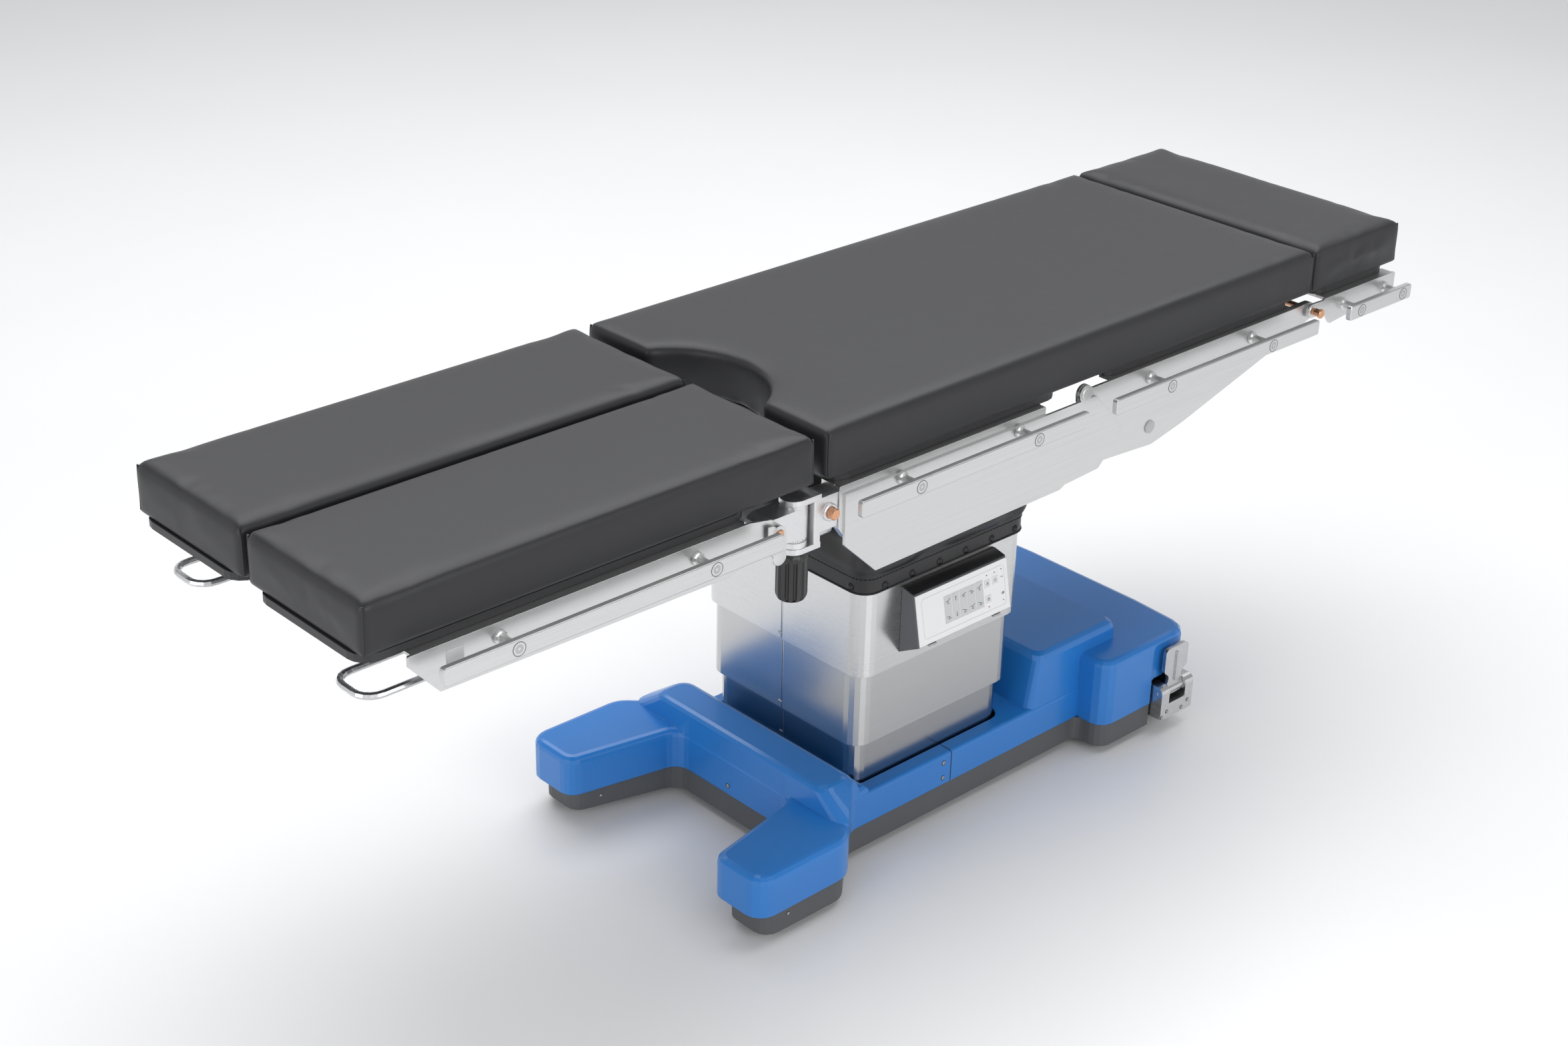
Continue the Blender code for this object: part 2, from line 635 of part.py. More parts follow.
def build_brake():
    """Pedal in its steel block, and the two bars with the rubber feet that it presses to the floor."""
    feet = joint("brake_feet_slide", floor, BRAKE_HEAD_X, 0.0, BRAKE_LIFT)
    for name, x, half in (("brake_bar_foot", BRAKE_FOOT_X, BRAKE_FOOT_HALF),
                          ("brake_bar_head", BRAKE_HEAD_X, BRAKE_HEAD_HALF)):
        made = prism(rectangle(x - 0.010, x + 0.010, -half, half, 0.008), BRAKE_BAR_Z, BRAKE_BAR_Z + 0.008)
        for side in (-1, 1):
            made = union(made, turned([(0.017, 0.0), (0.018, 0.003), (0.018, 0.007), (0.009, 0.010),
                                       (0.009, BRAKE_BAR_Z - BRAKE_LIFT + 0.004)],
                                      (x, side * (half - 0.012), BRAKE_LIFT), (0, 0, 1), 16))
        guides = [rod((x, y, 0.0), (x, y, 0.1), GUIDE_R + RUN, 12) for y in (-GUIDE_Y, GUIDE_Y)]
        finish(cut(made, *guides), name, RUBBER, feet)

    half = PEDAL_BLOCK / 2
    x0, x1 = PEDAL_X - half, PEDAL_X + half
    back, front = -BLOCK_HALF + 0.025, -PEDAL_OUT
    block = plate(rectangle(x0, x1, 0.029, 0.056, 0.003), front, back)
    top = PEDAL_PIN_Z + 0.014
    for a, b in ((x0, x0 + PEDAL_EAR), (x1 - PEDAL_EAR, x1)):
        ear = loft([[(x, y, z) for y, z in fillet([
            (back, 0.040, 0.0), (back, top, 0.004), (PEDAL_PIN_Y * -1 - 0.013, top, 0.011),
            (front, 0.040, 0.0)], 3)] for x in (a, b)])
        block = union(block, ear)
    pin_hole = rod((x0 - 0.01, -PEDAL_PIN_Y, PEDAL_PIN_Z), (x1 + 0.01, -PEDAL_PIN_Y, PEDAL_PIN_Z),
                   0.004 + RUN, 12)
    finish(cut(block, pin_hole), "brake_block", STEEL, floor)

    pedal_axis = joint("brake_pedal_hinge", floor, PEDAL_X, -PEDAL_PIN_Y, PEDAL_PIN_Z)
    neck = half - PEDAL_EAR - 0.0005
    outline = [(PEDAL_X - neck, 0.066, 0.004), (PEDAL_X + neck, 0.066, 0.004),
               (PEDAL_X + neck, 0.086, 0.006),
               (PEDAL_X + 0.013, 0.101, 0.012), (PEDAL_X + 0.0285, 0.112, 0.007),
               (PEDAL_X + 0.0285, PEDAL_TOP, 0.009), (PEDAL_X - 0.0285, PEDAL_TOP, 0.009),
               (PEDAL_X - 0.0285, 0.112, 0.007), (PEDAL_X - 0.013, 0.101, 0.012),
               (PEDAL_X - neck, 0.086, 0.006)]
    face = plate(outline, -PEDAL_PIN_Y - 0.0045, -PEDAL_PIN_Y + 0.0025, steps=3)
    rib = plate(rectangle(PEDAL_X - 0.0022, PEDAL_X + 0.0022, 0.090, 0.146, 0.002),
                -PEDAL_PIN_Y - 0.0075, -PEDAL_PIN_Y - 0.002)
    hub = rod((PEDAL_X - neck, -PEDAL_PIN_Y, PEDAL_PIN_Z), (PEDAL_X + neck, -PEDAL_PIN_Y, PEDAL_PIN_Z),
              0.0085, 12)
    pin = rod((x0 - 0.001, -PEDAL_PIN_Y, PEDAL_PIN_Z), (x1 + 0.001, -PEDAL_PIN_Y, PEDAL_PIN_Z), 0.004, 12)
    finish(union(face, rib, hub, pin), "brake_pedal", CHROME, pedal_axis)


# Column: three nested shrouds, the moving mast, the boot and the control panel

def shroud(size_x, size_y, z0, z1, lip=0.0):
    """Square tube with rounded corners; a guide lip round its top runs inside the next cover."""
    def ring(grow, z):
        half_x, half_y = size_x / 2 + grow, size_y / 2 + grow
        corners = rectangle(COLUMN_X - half_x, COLUMN_X + half_x, -half_y, half_y, COVER_CORNER + grow)
        return [(x, y, z) for x, y in fillet(corners, 5)]
    outer = [ring(0.0, z0)]
    if lip:
        outer += [ring(0.0, z1 - LIP - lip), ring(lip, z1 - LIP), ring(lip, z1)]
    else:
        outer.append(ring(0.0, z1))
    inner = loft([ring(-COVER_WALL, z0 - 0.01), ring(-COVER_WALL, z1 + 0.01)])
    return cut(loft(outer), inner)


def build_column():
    """The shrouds and the mast that lifts the table."""
    low_step = min(MIDDLE_X - LOWER_X, MIDDLE_Y - LOWER_Y) / 2 - COVER_WALL
    finish(shroud(LOWER_X, LOWER_Y, COVER_BOTTOM, LOWER_TOP, low_step - GAP), "column_cover_lower", STEEL,
           floor)
    mid_step = min(UPPER_X - MIDDLE_X, UPPER_Y - MIDDLE_Y) / 2 - COVER_WALL
    finish(shroud(MIDDLE_X, MIDDLE_Y, MIDDLE_BOTTOM, MIDDLE_TOP, mid_step - GAP), "column_cover_middle",
           STEEL,
           lift_middle)
    finish(shroud(UPPER_X, UPPER_Y, UPPER_BOTTOM, UPPER_TOP), "column_cover_upper", STEEL, lift_top)

    half = MAST_IN
    low = LIFT_DOWN + 0.015
    mast = prism(rectangle(COLUMN_X - half, COLUMN_X + half, -half, half, 0.010), low, MAST_HEAD + 0.002)
    inner_x, inner_y = UPPER_X / 2 - COVER_WALL - GAP, UPPER_Y / 2 - COVER_WALL - GAP
    head = prism(rectangle(COLUMN_X - inner_x, COLUMN_X + inner_x, -inner_y, inner_y,
                           COVER_CORNER - COVER_WALL), MAST_HEAD, MAST_HEAD + 0.008)
    mast = union(mast, head)
    foot = MAST_HEAD + 0.004
    ear = [(COLUMN_X - 0.036, foot, 0.0), (COLUMN_X + 0.036, foot, 0.0),
           (COLUMN_X + 0.028, TILT_Z + 0.026, 0.026),
           (COLUMN_X - 0.028, TILT_Z + 0.026, 0.026)]
    for side in (-1, 1):
        mast = union(mast, plate(ear, side * 0.070, side * 0.088, steps=6))
    wall = half - MAST_WALL
    hollow = prism(rectangle(COLUMN_X - wall, COLUMN_X + wall, -wall, wall, 0.004), 0.0, MAST_HEAD - 0.010)
    bores = rod((COLUMN_X, -0.12, TILT_Z), (COLUMN_X, 0.12, TILT_Z), TILT_PIN_Y + RUN, 16)
    finish(cut(mast, hollow, bores), "mast_inner", SKIRT, lift_top)

    core = box(COLUMN_X - 0.045, COLUMN_X + 0.045, -0.045, 0.045, TILT_Z - 0.022, TILT_Z + 0.022)
    along_y = rod((COLUMN_X, -0.092, TILT_Z), (COLUMN_X, 0.092, TILT_Z), TILT_PIN_Y, 16)
    along_x = rod((COLUMN_X - 0.104, 0, TILT_Z), (COLUMN_X + 0.104, 0, TILT_Z), TILT_PIN_X, 16)
    finish(union(core, along_y, along_x), "tilt_cross", SKIRT, tilt_end)


def build_boot():
    """Leatherette boot between the upper shroud and the table frame, open above and below."""
    clear = 0.0005
    wall = 0.003
    profile = ((0.0, -0.042, 0.0), (0.0, -0.016, 0.0), (0.004, 0.0, 0.004), (0.001, 0.030, 0.012),
               (-0.020, 0.070, 0.024), (-0.050, 0.120, 0.034), (-0.058, 0.169, 0.038))

    def ring(grow, z, soften):
        half_x, half_y = UPPER_X / 2 + clear + grow, UPPER_Y / 2 + clear + grow
        corners = rectangle(COLUMN_X - half_x, COLUMN_X + half_x, -half_y, half_y,
                            COVER_CORNER + clear + soften)
        return [(x, y, z) for x, y in fillet(corners, 5)]
    outer = [ring(wall + grow, UPPER_TOP + rise, soften + wall) for grow, rise, soften in profile]
    inner = [ring(grow, UPPER_TOP + rise, soften) for grow, rise, soften in profile]
    inner[0] = [(x, y, z - 0.01) for x, y, z in inner[0]]
    inner[-1] = [(x, y, z + 0.01) for x, y, z in inner[-1]]
    finish(cut(loft(outer), loft(inner)), "column_boot", LEATHERETTE, lift_top)


def build_panel():
    """Wedge housing of the control panel on the near face of the upper shroud."""
    wall = -UPPER_Y / 2 - GAP
    high = UPPER_TOP - 0.052
    corners = [(wall, high - 0.1095, 0.0), (wall, high, 0.0), (wall - 0.0244, high - 0.0055, 0.004),
               (wall - 0.0402, high - 0.088, 0.004)]
    levels = []
    for x, set_in in ((PANEL_START, 0.002), (PANEL_START + 0.002, 0.0), (PANEL_END - 0.002, 0.0),
                      (PANEL_END, 0.002)):
        levels.append([(x, y if abs(y - wall) < 1e-6 else y + set_in, z) for y, z in fillet(corners, 3)])
    finish(loft(levels), "control_panel", HOUSING, lift_top)


# Seat and back frames, accessory rails

def build_seat_frame():
    """Seat weldment: side plates on beams, cross beams, a centre plate and the tilt cross's lugs."""
    ear_x, ear_z = BACK_PIVOT_X, BACK_PIVOT_Z
    top = 0.0134
    outline = fillet(hung([(0.046, top, 0.002), (0.047, 0.0914, 0.004), (0.110, 0.1509, 0.003),
                           (0.497, 0.1469, 0.004), (0.508, 0.1414, 0.004), (0.583, 0.1374, 0.004),
                           (0.636, 0.0874, 0.006), (0.566, top, 0.0)]), 3)
    outline += arc(ear_x, ear_z, PIVOT_EAR, -45, 225, 12)
    web = loft([[(x, -y, z) for x, z in outline] for y in (PLATE_OUT, PLATE_OUT - PLATE_WALL)])
    inside = PLATE_OUT - PLATE_WALL
    filler = plate(hung([(0.050, 0.0814, 0.004), (0.112, 0.1354, 0.004), (SEAT_FRAME_END, 0.1314, 0.004),
                         (SEAT_FRAME_END, 0.0, 0.002), (SEAT_FRAME_START, 0.0, 0.002),
                         (SEAT_FRAME_START, SEAT_BEAM_DROP, 0.004)]), -inside - 0.001,
                         -SEAT_BEAM_OUT + 0.001)
    beam = prism(rectangle(SEAT_FRAME_START, SEAT_FRAME_END, -SEAT_BEAM_OUT, -SEAT_BEAM_IN, 0.002),
                 FRAME_TOP - SEAT_BEAM_DROP, FRAME_TOP)
    side = union(web, filler, beam)
    boss = turned([(PIVOT_BOSS_R, 0.0), (PIVOT_BOSS_R, 0.0022), (PIVOT_BOSS_R - 0.001, 0.0030)],
                  (ear_x, -PLATE_OUT + 0.001, ear_z), (0, -1, 0), 16)
    side = union(side, boss)
    shaft = rod((ear_x, -PLATE_OUT + 0.001, ear_z), (ear_x, -BACK_IN + 0.003, ear_z), PIVOT_PIN_R, 16)
    frame = both(union(side, shaft))
    half = SEAT_BEAM_IN + 0.001
    start, end = SEAT_FRAME_START + 0.13, SEAT_FRAME_END - 0.012
    for x in (start, end - 0.055):
        frame = union(frame, prism(rectangle(x, x + 0.055, -half, half, 0.002), FRAME_TOP - 0.0414,
                                   FRAME_TOP - 0.002))
    frame = union(frame, box(start + 0.04, end - 0.04, -0.080, 0.080, FRAME_TOP - 0.014, FRAME_TOP - 0.004))
    for direction in (-1, 1):
        a, b = COLUMN_X + direction * 0.086, COLUMN_X + direction * 0.101
        lug = loft([[(x, y, z) for y, z in fillet([
            (-0.034, FRAME_TOP - 0.006, 0.0), (-0.026, TILT_Z - 0.024, 0.022),
            (0.026, TILT_Z - 0.024, 0.022),
            (0.034, FRAME_TOP - 0.006, 0.0)], 5)] for x in (a, b)])
        frame = union(frame, lug)
    bores = rod((COLUMN_X - 0.12, 0, TILT_Z), (COLUMN_X + 0.12, 0, TILT_Z), TILT_PIN_X + RUN, 16)
    finish(cut(frame, bores), "seat_frame", STEEL, tilt_side)


def build_back_frame():
    """Frame of the back section, hung on the seat plates' pivots."""
    px, pz = BACK_PIVOT_X, BACK_PIVOT_Z
    top = FRAME_TOP
    outline = fillet(hung([(px - PIVOT_EAR + 0.001, BACK_PIVOT_DROP + 0.010, 0.0), (0.575, 0.1284, 0.012),
                           (0.713, 0.1374, 0.012), (0.788, 0.1209, 0.030), (0.990, 0.0634, 0.020),
                           (1.072, 0.0594, 0.004), (1.0735, 0.0174, 0.004), (1.060, 0.0, 0.004),
                           (px + 0.020, 0.0, 0.0)]), 3)
    outline += arc(px, pz, PIVOT_EAR, 45, 190, 9)
    web = loft([[(x, -y, z) for x, z in outline] for y in (BACK_OUT, BACK_IN)])
    ear = plate(hung([(1.030, 0.0484, 0.006), (1.088, 0.0354, 0.016), (1.112, 0.0274, 0.012),
                      (1.112, 0.0014, 0.012),
                      (1.084, 0.0014, 0.010), (1.030, 0.0034, 0.006)]), -BACK_IN - 0.001, -BACK_IN + 0.010)
    flange = prism(rectangle(BACK_BOARD_START + 0.006, BACK_BOARD_END - 0.006, -BACK_IN - 0.001,
                             -BACK_IN + FLANGE, 0.002), top - 0.004, top)
    rivet = turned([(0.0105, 0.0), (0.0105, 0.0016), (0.0080, 0.0024)],
                   (0.705, -BACK_OUT + 0.001, FRAME_TOP - 0.1054), (0, -1, 0), 12)
    side = union(web, ear, flange, rivet)
    out, within = -PLATE_OUT - 0.035, -PLATE_OUT + 0.065
    bore = rod((px, out, pz), (px, within, pz), PIVOT_PIN_R + RUN, 16)
    head_bore = rod((HEAD_PIVOT_X, out, HEAD_PIVOT_Z), (HEAD_PIVOT_X, within, HEAD_PIVOT_Z),
                    HEAD_STUB_R + RUN, 16)
    frame = both(cut(side, bore, head_bore))
    for x in (BACK_BOARD_START + 0.040, BACK_BOARD_END - 0.082):
        frame = union(frame, prism(rectangle(x, x + 0.040, -BACK_IN - 0.001, BACK_IN + 0.001, 0.003),
                                   top - 0.014, top - 0.002))
    finish(frame, "back_frame", STEEL, back_hinge)


def rail(x0, x1, posts, plate_y, seat=GAP):
    """Accessory rail of the -Y side on collared posts, which stand off the plate by seat."""
    corners = rectangle(x0, x1, RAIL_LOW, RAIL_LOW + RAIL_HEIGHT, 0.004)
    soft = 0.0012
    levels = []
    for y, d in ((RAIL_BACK, soft), (RAIL_BACK + soft, 0.0), (RAIL_FRONT - soft, 0.0), (RAIL_FRONT, soft)):
        levels.append([(x, -y, z) for x, z in fillet(inset(corners, d), 2)])
    made = loft(levels)
    reach = RAIL_BACK - plate_y
    for x in posts:
        made = union(made, turned([(COLLAR_R, seat), (COLLAR_R, COLLAR_LENGTH - 0.0015),
                                   (POST_R + 0.001, COLLAR_LENGTH),
                                   (POST_R, COLLAR_LENGTH + 0.001), (POST_R, reach + 0.002)],
                                  (x, -plate_y, RAIL_Z), (0, -1, 0), 12))
    return made


def pair(piece, name, material, carrier):
    """A piece of the -Y side and its mirror image, as two objects."""
    other = flipped(piece)
    finish(piece, f"{name}_R", material, carrier)
    finish(other, f"{name}_L", material, carrier)


def build_rails():
    """Rails of the seat and back sections."""
    pair(rail(0.039, 0.505, (0.154, 0.395), PLATE_OUT), "seat_rail", STEEL, tilt_side)
    pair(rail(0.566, 1.064, (0.695, 0.944), BACK_OUT), "back_rail", STEEL, back_hinge)


# Cushions and boards

def cutout(radius, z0, z1):
    return rod((CUTOUT_X, 0, z0), (CUTOUT_X, 0, z1), radius, 64)


def cushion(x0, x1, y0, y1, round_x0=True, round_x1=True):
    corner = PAD_CORNER
    corners = [(x0, y0, corner if round_x0 else 0.0), (x1, y0, corner if round_x1 else 0.0),
               (x1, y1, corner if round_x1 else 0.0), (x0, y1, corner if round_x0 else 0.0)]
    outline = fillet(corners, 3)
    levels = []
    middle_x, middle_y = (x0 + x1) / 2, (y0 + y1) / 2
    for d, z in ((0.003, PAD_BOTTOM), (0.0, PAD_BOTTOM + 0.004), (0.0, PAD_TOP - PAD_EDGE),
                 (PAD_EDGE * 0.29, PAD_TOP - PAD_EDGE * 0.29), (PAD_EDGE, PAD_TOP)):
        ring = []
        for x, y in outline:
            near_x = x - d if x > middle_x else x + d
            if (x > middle_x and not round_x1) or (x < middle_x and not round_x0):
                near_x = x
            ring.append((near_x, y - d if y > middle_y else y + d, z))
        levels.append(ring)
    return loft(levels)


def build_seat_and_back_cushions():
    """One long cushion in three solids: over the seat, over the hinge, over the back."""
    bend0, bend1 = BACK_PIVOT_X - HINGE_STRIP, BACK_PIVOT_X + HINGE_STRIP
    seat = cushion(SEAT_PAD_START, bend0 - GAP, -PAD_HALF, PAD_HALF, True, False)
    under, over = FRAME_TOP - 0.01, PAD_TOP + 0.01
    finish(cut(seat, cutout(CUTOUT_R, under, over)), "seat_pad", VINYL, tilt_side)
    finish(cushion(bend0, bend1 - GAP, -PAD_HALF, PAD_HALF, False, False), "hinge_pad", VINYL, tilt_side)
    finish(cushion(bend1, BACK_PAD_END, -PAD_HALF, PAD_HALF, False, True), "back_pad", VINYL, back_hinge)
    seat_board = prism(rectangle(SEAT_BOARD_START, SEAT_BOARD_END, -BOARD_HALF, BOARD_HALF, BOARD_CORNER),
                       BOARD_BOTTOM, BOARD_TOP)
    finish(cut(seat_board, cutout(CUTOUT_R + 0.008, under, over)), "seat_board", BOARD, tilt_side)
    back_board = prism(rectangle(BACK_BOARD_START, BACK_BOARD_END, -BOARD_HALF, BOARD_HALF, BOARD_CORNER),
                       BOARD_BOTTOM, BOARD_TOP)
    finish(back_board, "back_board", BOARD, back_hinge)


# Head section

def build_head():
    """Head frame with its rails welded on, its board and its cushion."""
    px, pz = HEAD_PIVOT_X, HEAD_PIVOT_Z
    corners = hung([(1.128, 0.0214, 0.003), (1.151, 0.0484, 0.004), (1.326, 0.0314, 0.004),
                    (1.326, 0.0, 0.004),
                    (1.128, 0.0, 0.004)])
    web = plate(corners, -PLATE_OUT, -PLATE_OUT + PLATE_WALL, steps=3)
    flange = prism(rectangle(1.134, 1.320, -PLATE_OUT + 0.002, -PLATE_OUT + FLANGE, 0.002),
                   FRAME_TOP - 0.004, FRAME_TOP)
    arm = plate([(px - 0.012, pz - 0.012, 0.0115), (1.150, pz - 0.014, 0.003), (1.150, pz + 0.010, 0.003),
                 (px - 0.012, pz + 0.012, 0.0115)], -PLATE_OUT, -PLATE_OUT + PLATE_WALL, steps=4)
    stub = rod((px, -PLATE_OUT + 0.001, pz), (px, -BACK_IN + 0.012, pz), HEAD_STUB_R, 16)
    ring = 0.0026
    cap = turned([(0.0105, 0.0), (0.0105, ring - 0.0008), (0.0095, ring)], (px, -PLATE_OUT + 0.0005, pz),
                 (0, -1, 0), 16)
    side = union(web, flange, arm, stub, cap, rail(1.149, 1.318, (1.180, 1.295), PLATE_OUT, -0.001))
    bore = rod((px, -PLATE_OUT - 0.01, pz), (px, -BACK_IN + 0.02, pz), HEAD_ROD_R + RUN, 16)
    frame = both(cut(side, bore))
    reach = PLATE_OUT - PLATE_WALL + 0.001
    for x in (1.150, 1.280):
        frame = union(frame, prism(rectangle(x, x + 0.030, -reach, reach, 0.003), FRAME_TOP - 0.012,
                                   FRAME_TOP - 0.002))
    finish(frame, "head_frame", STEEL, head_hinge)

    slide = joint("head_release", head_hinge, px, 0.0, pz)
    start = PLATE_OUT + ring + HEAD_TRAVEL
    button = [(0.0065, 0.0), (0.0065, 0.0090), (0.0078, 0.0100), (0.0078, 0.0125), (0.0068, 0.0135)]
    tip = turned(button, (px, -start, pz), (0, -1, 0), 16)
    shaft = rod((px, -start - 0.001, pz), (px, start + 0.001, pz), HEAD_ROD_R, 16)
    finish(union(shaft, tip, turned(button, (px, start, pz), (0, 1, 0), 16)), "head_release_rod", COPPER,
           slide)
    board = prism(rectangle(HEAD_BOARD_START, HEAD_BOARD_END, -BOARD_HALF, BOARD_HALF, BOARD_CORNER),
                  BOARD_BOTTOM, BOARD_TOP)
    finish(board, "head_board", BOARD, head_hinge)
    split = HEAD_PAD_START + HEAD_STRIP
    finish(cushion(HEAD_PAD_START, split - GAP, -PAD_HALF, PAD_HALF, True, False), "head_pad_edge", VINYL,
           head_hinge)
    finish(cushion(split, HEAD_PAD_END, -PAD_HALF, PAD_HALF, False, True), "head_pad", VINYL, head_hinge)


# Leg sections, built on the -Y side and mirrored for the other

def build_leg(letter):
    """One leg section with its joint. letter R stays on the -Y side, L is flipped to the +Y side."""
    side = -1 if letter == "R" else 1
    swing = joint(f"leg_swing_{letter}", tilt_side, YOKE_X, side * YOKE_Y, PIVOT_Z)
    pitch = joint(f"leg_pitch_{letter}", swing, PIVOT_X, side * YOKE_Y, PIVOT_Z)
    knob_axis = joint(f"knob_{letter}", tilt_side, YOKE_X, side * YOKE_Y, YOKE_BOTTOM)
    bail_y = (BAIL_INNER + BAIL_OUTER) / 2
    button_out = joint(f"release_{letter}", tilt_side, BUTTON_X, side * YOKE_Y, BUTTON_Z)
    button_in = joint(f"hinge_button_{letter}", pitch, PIVOT_X, side * PLATE_OUT, PIVOT_Z)
    bail = joint(f"bail_{letter}", pitch, BAIL_X, side * bail_y, BAIL_Z)

    def done(piece, name, material, carrier):
        if side > 0:
            other = flipped(piece)
            bpy.data.objects.remove(piece, do_unlink=True)
            piece = other
        finish(piece, f"{name}_{letter}", material, carrier)

    low, high = YOKE_Y - YOKE_HALF, YOKE_Y + YOKE_HALF
    arm_outline = arc(YOKE_X, -YOKE_Y, YOKE_HALF, 90, 270, 12) + [(YOKE_END, -high), (YOKE_END, -low)]
    yoke = loft([[(x, y, z) for x, y in arm_outline] for z in (YOKE_TOP - YOKE_ARM, YOKE_TOP)])
    yoke = union(yoke, loft([[(x, y, z) for x, y in arm_outline] for z in (YOKE_BOTTOM,
                                                                           YOKE_BOTTOM + YOKE_ARM)]))
    yoke = union(yoke, prism(rectangle(YOKE_END - YOKE_WEB, YOKE_END, -high, -low, 0.002), YOKE_BOTTOM,
                             YOKE_TOP, 2))
    yoke = union(yoke, box(YOKE_END - 0.004, SEAT_FRAME_START - GAP, -high, -low - 0.006,
                           PIVOT_Z - 0.028, PIVOT_Z + 0.023))
    tube_z = PIVOT_Z - 0.036
    yoke = union(yoke, rod((YOKE_END - 0.004, -YOKE_Y, tube_z), (SEAT_FRAME_START - GAP, -YOKE_Y, tube_z),
                           0.0095, 12))
    collar = turned([(0.0130, 0.0), (0.0130, 0.0040), (0.0115, 0.0050)], (BUTTON_X, -high + 0.001, BUTTON_Z),
                    (0, -1, 0), 16)
    yoke = union(yoke, collar)
    button_r = 0.0085
    bore = rod((BUTTON_X, -YOKE_Y - 0.003, BUTTON_Z), (BUTTON_X, -YOKE_Y - 0.040, BUTTON_Z),
               button_r + RUN, 16)
    stem_hole = rod((YOKE_X, -YOKE_Y, YOKE_BOTTOM - 0.02),
                    (YOKE_X, -YOKE_Y, YOKE_BOTTOM + YOKE_ARM - 0.002), 0.006 + RUN, 12)
    done(cut(yoke, bore, stem_hole), "leg_yoke", ALUMINIUM, tilt_side)
    done(turned([(button_r - 0.0005, 0.0), (button_r, 0.001), (button_r, 0.0235),
                 (button_r - 0.0013, 0.0250)],
                (BUTTON_X, -YOKE_Y - 0.0085, BUTTON_Z), (0, -1, 0), 16), "release_button", COPPER,
                button_out)

    barrel_low, barrel_high = YOKE_BOTTOM + YOKE_ARM + GAP, YOKE_TOP - YOKE_ARM - GAP
    barrel = turned([(BARREL_R, 0.0), (BARREL_R, barrel_high - barrel_low)], (YOKE_X, -YOKE_Y, barrel_low),
                    (0, 0, 1), 28)
    cheek_half = BARREL_R - 0.0001
    cheek = plate([(PIVOT_X - 0.018, PIVOT_Z - 0.022, 0.017), (YOKE_X, PIVOT_Z - 0.028, 0.0),
                   (YOKE_X, PIVOT_Z + 0.018, 0.0), (PIVOT_X - 0.018, PIVOT_Z + 0.018, 0.017)],
                  -YOKE_Y - cheek_half, -YOKE_Y + cheek_half, steps=5)
    bracket = union(barrel, cheek)
    pin_r = 0.0090
    pin_hole = rod((PIVOT_X, -YOKE_Y - 0.03, PIVOT_Z), (PIVOT_X, -YOKE_Y + 0.03, PIVOT_Z), pin_r + RUN, 16)
    done(cut(bracket, pin_hole), "leg_bracket", ALUMINIUM, swing)

    knob_top = YOKE_BOTTOM - GAP
    knob = turned([(0.0175, 0.0), (0.0175, 0.004), (KNOB_R, 0.006), (KNOB_R, KNOB_LENGTH - 0.006),
                   (KNOB_R - 0.004, KNOB_LENGTH)], (YOKE_X, -YOKE_Y, knob_top), (0, 0, -1), 36)
    flutes = []
    for k in range(KNOB_FLUTES):
        a = 2 * pi * k / KNOB_FLUTES
        x, y = YOKE_X + (KNOB_R + 0.0012) * cos(a), -YOKE_Y + (KNOB_R + 0.0012) * sin(a)
        flutes.append(rod((x, y, knob_top - 0.012), (x, y, knob_top - KNOB_LENGTH - 0.01), 0.0026, 8))
    knob = cut(knob, *flutes)
    knob = union(knob, rod((YOKE_X, -YOKE_Y, knob_top - 0.002), (YOKE_X, -YOKE_Y, YOKE_BOTTOM + 0.005),
                           0.006, 12))
    done(knob, "leg_knob", PLASTIC, knob_axis)

    top = FRAME_TOP
    face = -PLATE_OUT
    web = plate(hung([(-0.672, 0.0144, 0.003), (-0.628, 0.0634, 0.004), (-0.163, 0.0674, 0.010),
                      (-0.140, 0.0574, 0.010), (-0.088, 0.0574, 0.0), (-0.088, 0.0074, 0.004),
                      (-0.130, 0.0, 0.004), (-0.672, 0.0, 0.002)]), face, face + PLATE_WALL, steps=3)
    flange = prism(rectangle(-0.666, -0.135, face + 0.002, face + FLANGE, 0.002), top - 0.004, top)
    channel = union(web, flange)
    for x in (-0.600, -0.450, -0.200):
        channel = union(channel, prism(rectangle(x - 0.016, x + 0.016, face + 0.002, -0.035, 0.003),
                                       top - 0.010, top))
    lug = 0.010
    for y in (BAIL_INNER - 0.012, BAIL_OUTER + 0.012):
        channel = union(channel, plate([(BAIL_X - lug, BAIL_Z - lug, 0.009),
                                        (BAIL_X + lug, BAIL_Z - lug, 0.009),
                                        (BAIL_X + lug, top - 0.006, 0.0), (BAIL_X - lug, top - 0.006, 0.0)],
                                       -y - 0.002, -y + 0.002))
    knuckle_out = PLATE_OUT + 0.0065
    knuckle_in = YOKE_Y + BARREL_R + GAP
    half = KNUCKLE_HALF
    knuckle = plate([(PIVOT_X - half, PIVOT_Z - KNUCKLE_LENGTH, 0.010),
                     (PIVOT_X + half, PIVOT_Z - KNUCKLE_LENGTH, 0.010),
                     (PIVOT_X + half, PIVOT_Z + 0.0135, 0.0122), (PIVOT_X - half, PIVOT_Z + 0.0135, 0.0122)],
                    -knuckle_out, -knuckle_in, steps=5)
    hook_x = PIVOT_X - 0.0227
    under = RAIL_LOW - GAP
    hook = plate([(hook_x - 0.012, under - 0.0092, 0.002), (hook_x + 0.024, under - 0.0092, 0.011),
                  (hook_x + 0.028, RAIL_Z - 0.006, 0.003), (hook_x + 0.012, RAIL_Z + 0.007, 0.003),
                  (hook_x + GAP, RAIL_Z + 0.007, 0.001), (hook_x + GAP, under, 0.0),
                  (hook_x - 0.012, under, 0.001)],
                 -RAIL_FRONT - 0.001, -knuckle_out + 0.002, steps=3)
